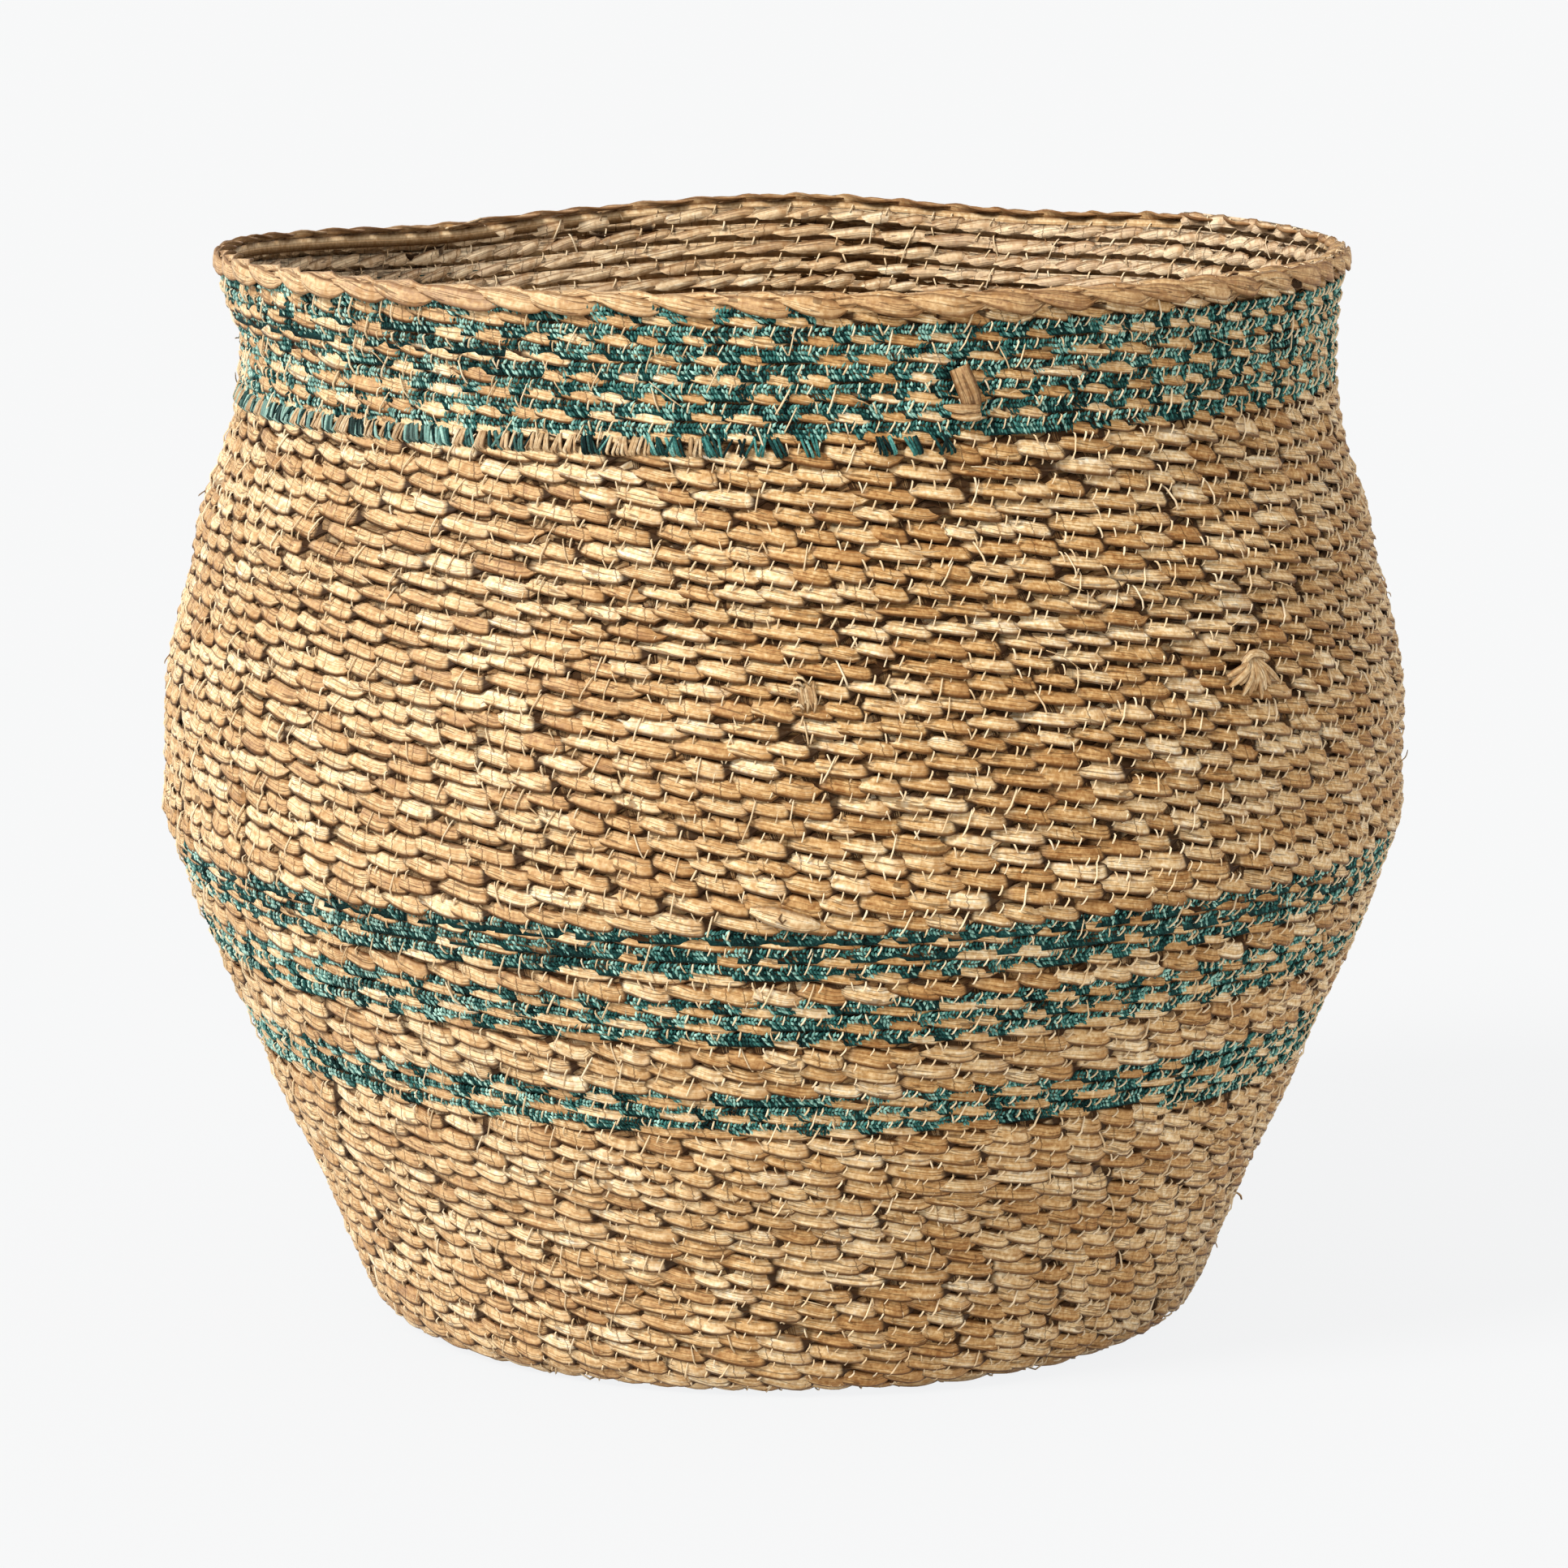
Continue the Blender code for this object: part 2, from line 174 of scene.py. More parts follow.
# Teal yarn. Each row has its start in turns, height, depth, stroke height and lean, and
# whether the lenses of the plait hide it
YARN_STEP = 1.0 * MM
YARN_WIDTH = 1.05 * MM
YARN_OUT_SPREAD = (-0.3 * MM, 0.35 * MM)
YARN_LENGTH_SHARES = (0.65, 1.2)
YARN_LEAN_SPREAD = 0.35
YARN_SWIRL = 2.2
YARN_SWIRL_SCALE = 110.0
# The flat core under the strokes, dark in tone as painted shade between them
YARN_CORE_WIDTH = 5.8 * MM
YARN_CORE_THICKNESS = 0.3 * MM
YARN_CORE_RISE = 0.1 * MM
YARN_CORE_SHADE_TONE = 0.12
YARN_ENDS_EARLIER = 0.35
YARN_ROWS = {
    "lower": (0.0, 0.35 * MM, -1.5 * MM, 2.2 * MM, -0.75, 0.0),
    "upper": (0.0005, 1.75 * MM, -1.45 * MM, 2.5 * MM, 0.55, 0.0),
    "behind": (0.001, -1.3 * MM, -1.75 * MM, 3.2 * MM, -0.7, 1.0),
}

# The part of a lens that hides the yarn behind it, in periods past the lens's middle
HIDING_PART = (0.11, 0.30)

# Cross-sections, as shares of half the width and of half the thickness
STRAND_SHAPE = ((-0.66, 0.9), (0.66, 0.9), (1.0, -0.1), (0.0, -1.0), (-1.0, -0.1))
THREAD_SHAPE = ((0.0, 1.0), (0.87, -0.5), (-0.87, -0.5))
PITH_SHAPE = ((0.0, 1.0), (0.5, -1.0), (-0.5, -1.0))
RIM_SHAPE = ((0.0, 1.0), (0.8, 0.75), (1.0, 0.0), (0.8, -0.75),
             (0.0, -1.0), (-0.8, -0.75), (-1.0, 0.0), (-0.8, 0.75))

# The rim's plait, which closes on itself after a whole number of crossings, and its core
RIM_CROSSINGS = 20
RIM_POINTS = 480
RIM_MIDDLE_RADIUS = RIM_RADIUS - 1.9 * MM
RIM_MIDDLE_HEIGHT = RIM_TOP - 1.0 * MM
RIM_SWAY = 2.7 * MM
RIM_LIFT = 1.0 * MM
RIM_FOLD_IN = 0.9
RIM_FOLD_UP = 0.25
RIM_WAVE = 2.0 * MM
RIM_WAVE_SCALE = 1.4
RIM_DRIFT = 0.3
RIM_DRIFT_SCALE = 4.0
RIM_STRAND_WIDTH = 5.3 * MM
RIM_STRAND_THICKNESS = 1.3 * MM
RIM_WIDTH_SHARES = (0.9, 1.1)
RIM_TONES = (-0.15, 0.42)
RIM_CORE_WIDTH = 4.6 * MM
RIM_CORE_THICKNESS = 2.4 * MM
RIM_CORE_DEPTH = 1.6 * MM
RIM_CORE_DROP = 2.6 * MM
RIM_CORE_TONE = 0.45

# Where each length of plait ends, as shares of the wall's turns from the base up
PLAIT_END_SHARES = {
    "heel_coil": 0.0639,
    "lower_wall_coil": 0.2790,
    "lower_teal_band": 0.3295,
    "lower_spacer_coil": 0.3800,
    "middle_teal_band": 0.4233,
    "upper_spacer_coil": 0.4408,
    "upper_teal_band": 0.4897,
    "belly_coil_lower": 0.6844,
    "belly_coil_upper": 0.8604,
    "tufted_course": 0.8892,
    "neck_teal_band": 1.0,
}

# The lengths of plait with teal yarn: the share of lenses that the yarn covers, and how much
# longer than elsewhere the lenses are
TEAL_BANDS = {
    "lower_teal_band": (0.10, 1.25),
    "middle_teal_band": (0.10, 1.25),
    "upper_teal_band": (0.10, 1.25),
    "neck_teal_band": (0.04, 1.0),
}

# Places across the front, from right to left, between which a change sets in
NECK_WIDENS = (-20 * MM, -140 * MM)
THREADS_THIN_OUT = (-20 * MM, -130 * MM)
LONG_THREADS_INCREASE = (0.0, -110 * MM)
# Towards the left, the seagrass and the yarn take painted light, as the key light falls from there
SEAGRASS_PALES = (30 * MM, -120 * MM)
YARN_PAINTED_LIGHT_SPAN = (-20 * MM, -150 * MM)

# Colours of the finishes, from dark to light where there are several, each at its place
SEAGRASS_TONES = ((0.0, (0.26, 0.115, 0.034)), (0.28, (0.50, 0.300, 0.122)),
                  (0.55, (0.72, 0.540, 0.310)), (0.78, (0.84, 0.74, 0.555)), (1.0, (0.93, 0.89, 0.80)))
# Painted light mixes the seagrass towards this pale cream; pieces that are not braided are a little paler too
PALE_AND_PAINTED_LIGHT = (0.95, 0.83, 0.65)
RUSTY = (0.34, 0.165, 0.058)
STAINED = (0.33, 0.165, 0.055)
# Browns of painted shade: at the edges, by the stored shade and in the thread shadows (the real splits take
# it too), in the hollows, and the deepest shade
EDGE_SHADE_BROWN = (0.105, 0.036, 0.008)
SPLIT_AND_SHADE_BROWN = (0.050, 0.019, 0.006)
HOLLOW_SHADE_BROWN = (0.024, 0.009, 0.003)
DEEP_SHADE_BROWN = (0.045, 0.02, 0.008)
THREAD_TONES = ((0.0, (0.52, 0.36, 0.19)), (0.5, (0.72, 0.56, 0.36)), (1.0, (0.86, 0.74, 0.55)))
YARN_TONES = ((0.0, (0.003, 0.011, 0.011)), (0.28, (0.012, 0.062, 0.058)),
              (0.58, (0.055, 0.21, 0.19)), (1.0, (0.42, 0.70, 0.61)))
# Painted light mixes the yarn's paler tones towards this pale sage on the left
YARN_PAINTED_LIGHT = (0.50, 0.60, 0.52)

# How deep the fine relief of each finish is
BUMP_STRENGTH = 0.7
SEAGRASS_RELIEF = 0.28 * MM
THREAD_RELIEF = 0.2 * MM
YARN_RELIEF = 0.25 * MM

# Room in the UV maps, so that no face crosses an edge of its row or cell
TURN_ROOM = 1.02
ROW_MARGIN = 0.05
CELL_SPREAD = 0.3
CELL_SCALE = 900.0

# Strands drawn one by one: the corners of their section, the share of a strand over which it
# widens and narrows, and the step of a smooth path in millimetres
LEAF_CORNERS = 6
LEAF_SQUARENESS = 0.7
LEAF_WIDENS = 0.4
LEAF_NARROWS = 0.3
PATH_STEP = 1.5
STRAY_FIBRES = 90
WIDE_LENS_PLACE = (-89.7, 157.1 * MM)
LOOSE_END_PLACE = (-9.5, 37.5 * MM)

# The photograph's view and a studio for it
CAMERA_LENS = 153.8
CAMERA_SENSOR = 36.0
CAMERA_REACH = 50.0
CAMERA_PLACE = (0.0, -2.031, 0.513)
CAMERA_TILT = 80.17
SKY_COLOUR = (1.0, 0.94, 0.865)
SKY_STRENGTH = 0.82
KEY_COLOUR = (1.0, 0.985, 0.95)
KEY_STRENGTH = 3.85
KEY_ANGLE = 18.0
KEY_FROM = (-0.60, -0.54, 0.68)
BACKGROUND = (0.945, 0.945, 0.940)
FLOOR_COLOUR = (0.80, 0.80, 0.80)
FLOOR_SEEN = (0.9125, 0.9195, 0.927)
FLOOR_SEEN_SHARE = 0.94
FLOOR_RADIUS = 12.0
FLOOR_CORNERS = 96
FLOOR_DROP = 0.4 * MM

SEED = 7


class Number:
    """A number in a node tree. Python's own operators on it add the tree's Math nodes."""

    def __init__(self, tree, socket):
        self.tree = tree
        self.socket = socket

    def maths(self, operation, *numbers):
        node = self.tree.add("ShaderNodeMath", {"operation": operation}, dict(enumerate(numbers)))
        return Number(self.tree, node.outputs[0])

    def __add__(self, other):
        return self.maths("ADD", self, other)

    __radd__ = __add__

    def __sub__(self, other):
        return self.maths("SUBTRACT", self, other)

    def __rsub__(self, other):
        return self.maths("SUBTRACT", other, self)

    def __mul__(self, other):
        return self.maths("MULTIPLY", self, other)

    __rmul__ = __mul__

    def __truediv__(self, other):
        return self.maths("DIVIDE", self, other)

    def __neg__(self):
        return self.maths("MULTIPLY", self, -1.0)

    def __pow__(self, exponent):
        return self.maths("POWER", self, exponent)

    def __mod__(self, other):
        return self.maths("FLOORED_MODULO", self, other)

    def sine(self):
        return self.maths("SINE", self)

    def cosine(self):
        return self.maths("COSINE", self)

    def floor(self):
        return self.maths("FLOOR", self)

    def size(self):
        return self.maths("ABSOLUTE", self)

    def at_least(self, other):
        return self.maths("MAXIMUM", self, other)

    def at_most(self, other):
        return self.maths("MINIMUM", self, other)

    def over(self, other):
        return self.maths("GREATER_THAN", self, other)

    def under(self, other):
        return self.maths("LESS_THAN", self, other)

    def ramp(self, low, high):
        """From 0 at low to 1 at high, smoothly."""
        settings = {"interpolation_type": "SMOOTHSTEP"}
        sockets = {"Value": self, "From Min": low, "From Max": high}
        return Number(self.tree, self.tree.add("ShaderNodeMapRange", settings, sockets).outputs["Result"])


class Tree:
    """A node tree of geometry or of a material, to which one method adds any node."""

    def __init__(self, nodes_and_links):
        self.nodes_and_links = nodes_and_links

    def add(self, kind, settings=None, sockets=None):
        """Add a node: its settings come first, and then its sockets' values or links."""
        node = self.nodes_and_links.nodes.new(kind)
        for name, value in (settings or {}).items():
            setattr(node, name, value)
        identified = {socket.identifier: socket for socket in node.inputs}
        for key, value in (sockets or {}).items():
            self.give(identified[key] if key in identified else node.inputs[key], value)
        return node

    def give(self, socket, value):
        """Link a node's output to a socket, or set the socket to a constant."""
        source = value.socket if isinstance(value, Number) else value
        if isinstance(source, bpy.types.NodeSocket):
            self.nodes_and_links.links.new(source, socket)
        else:
            socket.default_value = source

    def number(self, kind, settings=None, sockets=None, output=0):
        return Number(self, self.add(kind, settings, sockets).outputs[output])

    def vector(self, x, y, z):
        return self.add("ShaderNodeCombineXYZ", None, {0: x, 1: y, 2: z}).outputs[0]

    def parts(self, vector):
        node = self.add("ShaderNodeSeparateXYZ", None, {0: vector})
        return tuple(Number(self, output) for output in node.outputs)

    def noise(self, vector, scale, detail=0.0):
        sockets = {"Vector": vector, "Scale": scale, "Detail": detail}
        return self.number("ShaderNodeTexNoise", None, sockets)


class Recipe(Tree):
    """A tree of geometry nodes with named sizes, which makes one piece along the wall's outline."""

    def __init__(self, name, *sizes):
        super().__init__(bpy.data.node_groups.new(name, "GeometryNodeTree"))
        interface = self.nodes_and_links.interface
        interface.new_socket("Start", in_out="INPUT", socket_type="NodeSocketGeometry")
        self.identifiers = {}
        kinds = {"Outline": "Object", "Material": "Material"} | dict.fromkeys(sizes, "Float")
        for size, kind in kinds.items():
            socket = interface.new_socket(size, in_out="INPUT", socket_type="NodeSocket" + kind)
            self.identifiers[size] = socket.identifier
        interface.new_socket("Piece", in_out="OUTPUT", socket_type="NodeSocketGeometry")
        self.given = self.nodes_and_links.nodes.new("NodeGroupInput")
        outline = self.add("GeometryNodeObjectInfo", None, {"Object": self.given.outputs["Outline"]})
        self.line = self.add("GeometryNodeMeshToCurve", None, {0: outline.outputs["Geometry"]}).outputs[0]

    def __getitem__(self, size):
        return Number(self, self.given.outputs[size])

    def named(self, name, kind="FLOAT"):
        return self.number("GeometryNodeInputNamedAttribute", {"data_type": kind}, {"Name": name})

    def store(self, geometry, name, value, kind="FLOAT"):
        sockets = {"Geometry": geometry, "Name": name, "Value": value}
        return self.add("GeometryNodeStoreNamedAttribute", {"data_type": kind}, sockets).outputs[0]

    def chance(self, low, high, identity, seed):
        """A random number that stays the same for the same identity."""
        sockets = {"Min_001": low, "Max_001": high, "ID": identity, "Seed": seed}
        return self.number("FunctionNodeRandomValue", {"data_type": "FLOAT"}, sockets, 1)

    def choose(self, index, numbers):
        """The one of the numbers that the index names."""
        node = self.add("GeometryNodeIndexSwitch", {"data_type": "FLOAT"})
        while len(node.index_switch_items) < len(numbers):
            node.index_switch_items.new()
        for socket, value in zip(node.inputs, (index, *numbers)):
            self.give(socket, value)
        return Number(self, node.outputs[0])

    def moved(self, geometry, position):
        sockets = {"Geometry": geometry, "Position": position}
        return self.add("GeometryNodeSetPosition", None, sockets).outputs[0]

    def joined(self, *geometries):
        node = self.nodes_and_links.nodes.new("GeometryNodeJoinGeometry")
        for geometry in reversed(geometries):
            self.give(node.inputs[0], geometry)
        return node.outputs[0]

    def copies(self, curve, count):
        """Copies of a curve that know their own number as their strand."""
        sockets = {"Geometry": curve, "Amount": count}
        node = self.add("GeometryNodeDuplicateElements", {"domain": "SPLINE"}, sockets)
        return self.store(node.outputs[0], "strand", node.outputs[1])

    def swept(self, curve, place, facing, width, thickness, shape, scale=1.0):
        """A closed band along a curve, moved to its place, with its broad face in the facing direction."""
        curve = self.moved(self.store(curve, "facing", facing, "FLOAT_VECTOR"), place)
        sockets = {"Curve": curve, "Normal": self.named("facing", "FLOAT_VECTOR")}
        curve = self.add("GeometryNodeSetCurveNormal", {"mode": "FREE"}, sockets).outputs[0]
        ring = self.add("GeometryNodeCurvePrimitiveCircle", None, {"Resolution": len(shape)}).outputs[0]
        corner = self.number("GeometryNodeInputIndex")
        ring = self.store(ring, "corner", corner)
        across, face = (self.choose(self.named("corner"), [point[i] for point in shape]) for i in range(2))
        ring = self.store(ring, "across", across)
        ring = self.store(ring, "around", corner / len(shape))
        ring = self.store(ring, "face", face)
        ring = self.moved(ring, self.vector(face * thickness / 2, across * width / 2, 0.0))
        sockets = {"Curve": curve, "Profile Curve": ring, "Scale": scale, "Fill Caps": True}
        return self.add("GeometryNodeCurveToMesh", None, sockets).outputs[0]

    def finish(self, geometry):
        """End the tree: real faces with their material, and nothing below the floor."""
        real = self.add("GeometryNodeRealizeInstances", None, {0: geometry}).outputs[0]
        x, y, z = self.parts(self.add("GeometryNodeInputPosition").outputs[0])
        real = self.moved(real, self.vector(x, y, z.at_least(0.0)))
        smooth = self.add("GeometryNodeSetShadeSmooth", None, {0: real}).outputs[0]
        done = self.add("GeometryNodeSetMaterial", None, {0: smooth, 2: self["Material"]}).outputs[0]
        self.give(self.nodes_and_links.nodes.new("NodeGroupOutput").inputs[0], done)
        return self

    def on_wall(self, length, turn, out):
        """A place on the wall: its position, and the wall's outward and upward directions there."""
        angle = turn * math.tau + SEAM_ANGLE
        cosine, sine = angle.cosine(), angle.sine()
        low, middle, high = SAG_LENGTHS
        front = (-sine).at_least(0.0) ** SAG_SHARPNESS
        sag = length.ramp(low, middle) * length.ramp(high, middle) * front * SAG_DEPTH
        sockets = {"Curves": self.line, "Length": length - sag}
        sample = self.add("GeometryNodeSampleCurve", {"mode": "LENGTH"}, sockets)
        radius, _, height = self.parts(sample.outputs["Position"])
        across, _, up = self.parts(sample.outputs["Tangent"])
        waves = self.noise(self.vector(radius * cosine, radius * sine, height), WAVE_SCALE)
        swell = (waves - 0.5) * (2 * WAVE_HEIGHT) * height.ramp(0.0, BELLY_RISE)
        for low, middle, high, depth in SWELLS:
            near = height.ramp(low * MM, middle * MM) * height.ramp(high * MM, middle * MM)
            swell = swell + near * (depth * MM)
        rim = height.ramp(*LEFT_RIM_HEIGHTS)
        neck = height.ramp(*LEFT_NECK_HEIGHTS) * (1 - rim)
        swell = swell + (-cosine).at_least(0.0) * (rim * LEFT_RIM_REACH - neck * LEFT_NECK_DEPTH)
        reach = radius + up * out + swell
        drop = self.dip(cosine, sine, height)
        position = self.vector(reach * cosine, reach * sine, height - across * out - drop)
        outward = self.vector(up * cosine, up * sine, -across)
        upward = self.vector(across * cosine, across * sine, up)
        return position, outward, upward

    def dip(self, cosine, sine, height):
        """How far the rim and the neck hang down at the back."""
        drop = 0.0
        for azimuth, depth, sharpness in DIPS:
            angle = math.radians(azimuth)
            near = (cosine * math.cos(angle) + sine * math.sin(angle)).at_least(0.0)
            drop = near ** sharpness * (depth * MM) + drop
        return drop * height.ramp(*DIP_HEIGHTS)

    def combined(self, first, share, second):
        """The first vector plus a share of the second."""
        scaled = self.add("ShaderNodeVectorMath", {"operation": "SCALE"}, {0: second, "Scale": share})
        total = self.add("ShaderNodeVectorMath", {"operation": "ADD"}, {0: first, 1: scaled.outputs[0]})
        return total.outputs[0]


class Finish(Tree):
    """The node tree of a material with one Principled BSDF."""

    def __init__(self, name, **constants):
        self.material = bpy.data.materials.new(name)
        self.material.use_nodes = True
        super().__init__(self.material.node_tree)
        self.shader = self.nodes_and_links.nodes["Principled BSDF"]
        for socket, value in constants.items():
            self.shader.inputs[socket.replace("_", " ")].default_value = value

    def attribute(self, name):
        return Number(self, self.add("ShaderNodeAttribute", {"attribute_name": name}).outputs["Fac"])

    def place(self):
        return self.add("ShaderNodeTexCoord").outputs["Object"]

    def ramped(self, number, stops):
        """The colour at a number on a row of stops, each a place and a colour."""
        node = self.add("ShaderNodeValToRGB", None, {0: number})
        elements = node.color_ramp.elements
        while len(elements) < len(stops):
            elements.new(0.5)
        for element, (place, colour) in zip(elements, stops):
            element.position = place
            element.color = (*colour, 1.0)
        return node.outputs[0]

    def mixed(self, share, first, second):
        """One colour mixed with a plain second colour, by the second one's share."""
        sockets = {"Factor_Float": share, "A_Color": first, "B_Color": (*second, 1.0)}
        return self.add("ShaderNodeMix", {"data_type": "RGBA"}, sockets).outputs[2]

    def finish(self, colour, roughness, height, distance):
        """End the tree: its colour and roughness, and a fine relief of the given depth."""
        sockets = {"Height": height, "Distance": distance, "Strength": BUMP_STRENGTH}
        bump = self.add("ShaderNodeBump", None, sockets).outputs[0]
        for socket, value in (("Base Color", colour), ("Roughness", roughness), ("Normal", bump)):
            self.give(self.shader.inputs[socket], value)
        return self.material


def bezier(start, first_handle, second_handle, end):
    """Points along one cubic curve."""
    share = np.linspace(0.0, 1.0, OUTLINE_SAMPLES)[:, None]
    rest = 1 - share
    near_start = rest ** 3 * start + 3 * rest ** 2 * share * first_handle
    near_end = 3 * rest * share ** 2 * second_handle + share ** 3 * end
    return near_start + near_end


def outline_points():
    """The outer face as a line of radius and height, from the base's middle to the rim's top."""
    edge = np.array([BASE_RADIUS, 0.0])
    heel = np.array([HEEL_RADIUS, HEEL_HEIGHT])
    belly = np.array([BELLY_RADIUS, HEEL_HEIGHT + BELLY_RISE])
    neck = np.array([NECK_RADIUS, belly[1] + NECK_RISE])
    rim = np.array([RIM_RADIUS, RIM_TOP])
    rim_rise = RIM_TOP - neck[1]
    out = np.array([1.0, 0.0])
    up = np.array([0.0, 1.0])
    leaning = up + WALL_SLOPE_SHARE * (BELLY_RADIUS - HEEL_RADIUS) / BELLY_RISE * out
    flare = up + 2 * (RIM_RADIUS - NECK_RADIUS) / rim_rise * out
    floor_handle = HEEL_FLOOR_SHARE * (HEEL_RADIUS - BASE_RADIUS) * out
    curves = [
        np.linspace([0.0, 0.0], edge, OUTLINE_SAMPLES),
        bezier(edge, edge + floor_handle, heel - HEEL_WALL_SHARE * HEEL_HEIGHT * leaning, heel),
        bezier(heel, heel + LOWER_WALL_SHARE * BELLY_RISE * leaning,
               belly - BELLY_SHARE * BELLY_RISE * up, belly),
        bezier(belly, belly + SHOULDER_SHARE * NECK_RISE * up,
               neck - SHOULDER_SHARE * NECK_RISE * up, neck),
        bezier(neck, neck + FLARE_SHARE * rim_rise * up, rim - FLARE_SHARE * rim_rise * flare, rim),
    ]
    return np.concatenate([curves[0]] + [curve[1:] for curve in curves[1:]])


OUTLINE = outline_points()
LENGTHS = np.concatenate([[0.0], np.cumsum(np.linalg.norm(np.diff(OUTLINE, axis=0), axis=1))])
WALL_TOP = float(np.interp(RIM_TOP - RIM_HEIGHT, OUTLINE[:, 1], LENGTHS))
BASE_TURNS = BASE_RADIUS / COURSE_PITCH
WALL_TURNS = (WALL_TOP - BASE_RADIUS) / COURSE_PITCH
TURN_RUNS = np.concatenate([[0.0], np.cumsum(
    math.tau / HELIX_STEPS * np.interp(
        COURSE_PITCH * np.arange(0.5, (BASE_TURNS + WALL_TURNS + 1) * HELIX_STEPS) / HELIX_STEPS,
        LENGTHS, OUTLINE[:, 0]))])


def run_at(turn):
    """Length of plait from the base's middle to a turn."""
    return float(np.interp(turn * HELIX_STEPS, np.arange(len(TURN_RUNS)), TURN_RUNS))


def outline_object():
    """The outline as a line of edges, which the recipes read. It is removed at the end."""
    mesh = bpy.data.meshes.new("outline")
    places = [(radius, 0.0, height) for radius, height in OUTLINE]
    mesh.from_pydata(places, [(i, i + 1) for i in range(len(places) - 1)], [])
    outline = bpy.data.objects.new("outline", mesh)
    bpy.context.scene.collection.objects.link(outline)
    return outline


def make(recipe, name, sizes, start=None):
    """Run a recipe and keep its result as a plain mesh object."""
    piece = bpy.data.objects.new(name, start or bpy.data.meshes.new(name))
    bpy.context.scene.collection.objects.link(piece)
    modifier = piece.modifiers.new(recipe.nodes_and_links.name, "NODES")
    modifier.node_group = recipe.nodes_and_links
    for size, value in ({"Outline": bpy.data.objects["outline"]} | sizes).items():
        modifier[recipe.identifiers[size]] = value
    view = bpy.context.evaluated_depsgraph_get()
    mesh = bpy.data.meshes.new_from_object(
        piece.evaluated_get(view), preserve_all_data_layers=True, depsgraph=view)
    piece.modifiers.remove(modifier)
    piece.data = mesh
    mesh.name = name
    return piece


# What every recipe along the coil is told
HELIX_SIZES = ("First Turn", "Last Turn", "First Run", "Step", "Stretch")


def helix_sizes(first, last, step, material, stretch=1.0):
    """The helix's values of a piece from its first turn to its last."""
    return {"First Turn": first, "Last Turn": last, "First Run": run_at(first), "Step": step,
            "Stretch": stretch, "Material": material}


def helix(recipe, step):
    """The middle line of a length of plait, with a point at every step and its turn and run stored."""
    first, last = recipe["First Turn"], recipe["Last Turn"]
    line = recipe.add("GeometryNodeCurvePrimitiveLine").outputs[0]
    sockets = {"Curve": line, "Count": (last - first) * HELIX_STEPS + 2}
    fine = recipe.add("GeometryNodeResampleCurve", None, sockets).outputs[0]
    share = recipe.number("GeometryNodeSplineParameter")
    curve = recipe.store(fine, "turn", first + (last - first) * share)
    turn = recipe.named("turn")
    place, _, _ = recipe.on_wall(turn * COURSE_PITCH + LAP_LIFT, turn, -FACE_DEPTH)
    curve = recipe.moved(curve, place)
    even = recipe.add("GeometryNodeResampleCurve", {"mode": "LENGTH"}, {"Curve": curve, "Length": step})
    run = recipe.number("GeometryNodeSplineParameter", output=1)
    curve = recipe.store(even.outputs[0], "run", recipe["First Run"] + run)
    x, y, _ = recipe.parts(recipe.add("GeometryNodeInputPosition").outputs[0])
    return recipe.store(curve, "reach", (x * x + y * y) ** 0.5)


def lens_of(recipe, run, strand):
    """The phase of a strand at a run of the plait, and the number of the lens that it is in."""
    drift = recipe.noise(recipe.vector(run * PLAIT_DRIFT_SCALE, 0.0, 0.0), 1.0) * PLAIT_DRIFT
    own_place = recipe.vector(run * STRAND_DRIFT_SCALE, strand * 7.0, 4.0)
    own_drift = recipe.noise(own_place, 1.0) * STRAND_DRIFT
    cycle = run / PLAIT_PERIOD / recipe["Stretch"] + strand / 3 + drift + own_drift
    lens = (cycle + 3 / 8).floor() * 3 + strand
    return cycle * math.tau, lens


def place_in_lens(phase):
    """How far a phase lies before or past the middle of its lens, in periods."""
    return (phase / math.tau + 0.5) % 1.0 - 0.5


def lens_width(along, middle, tip, tip_share):
    """The share of its width that a strand has along its lens."""
    return along.ramp(*middle) * (1 - along.ramp(*tip)) * (1 - tip_share) + tip_share


def is_missing(recipe, lens):
    """1 where the teal yarn covers a lens, and 0 where the lens shows."""
    return recipe["Covered Share"].over(recipe.chance(0.0, 1.0, lens, SEED + 3))


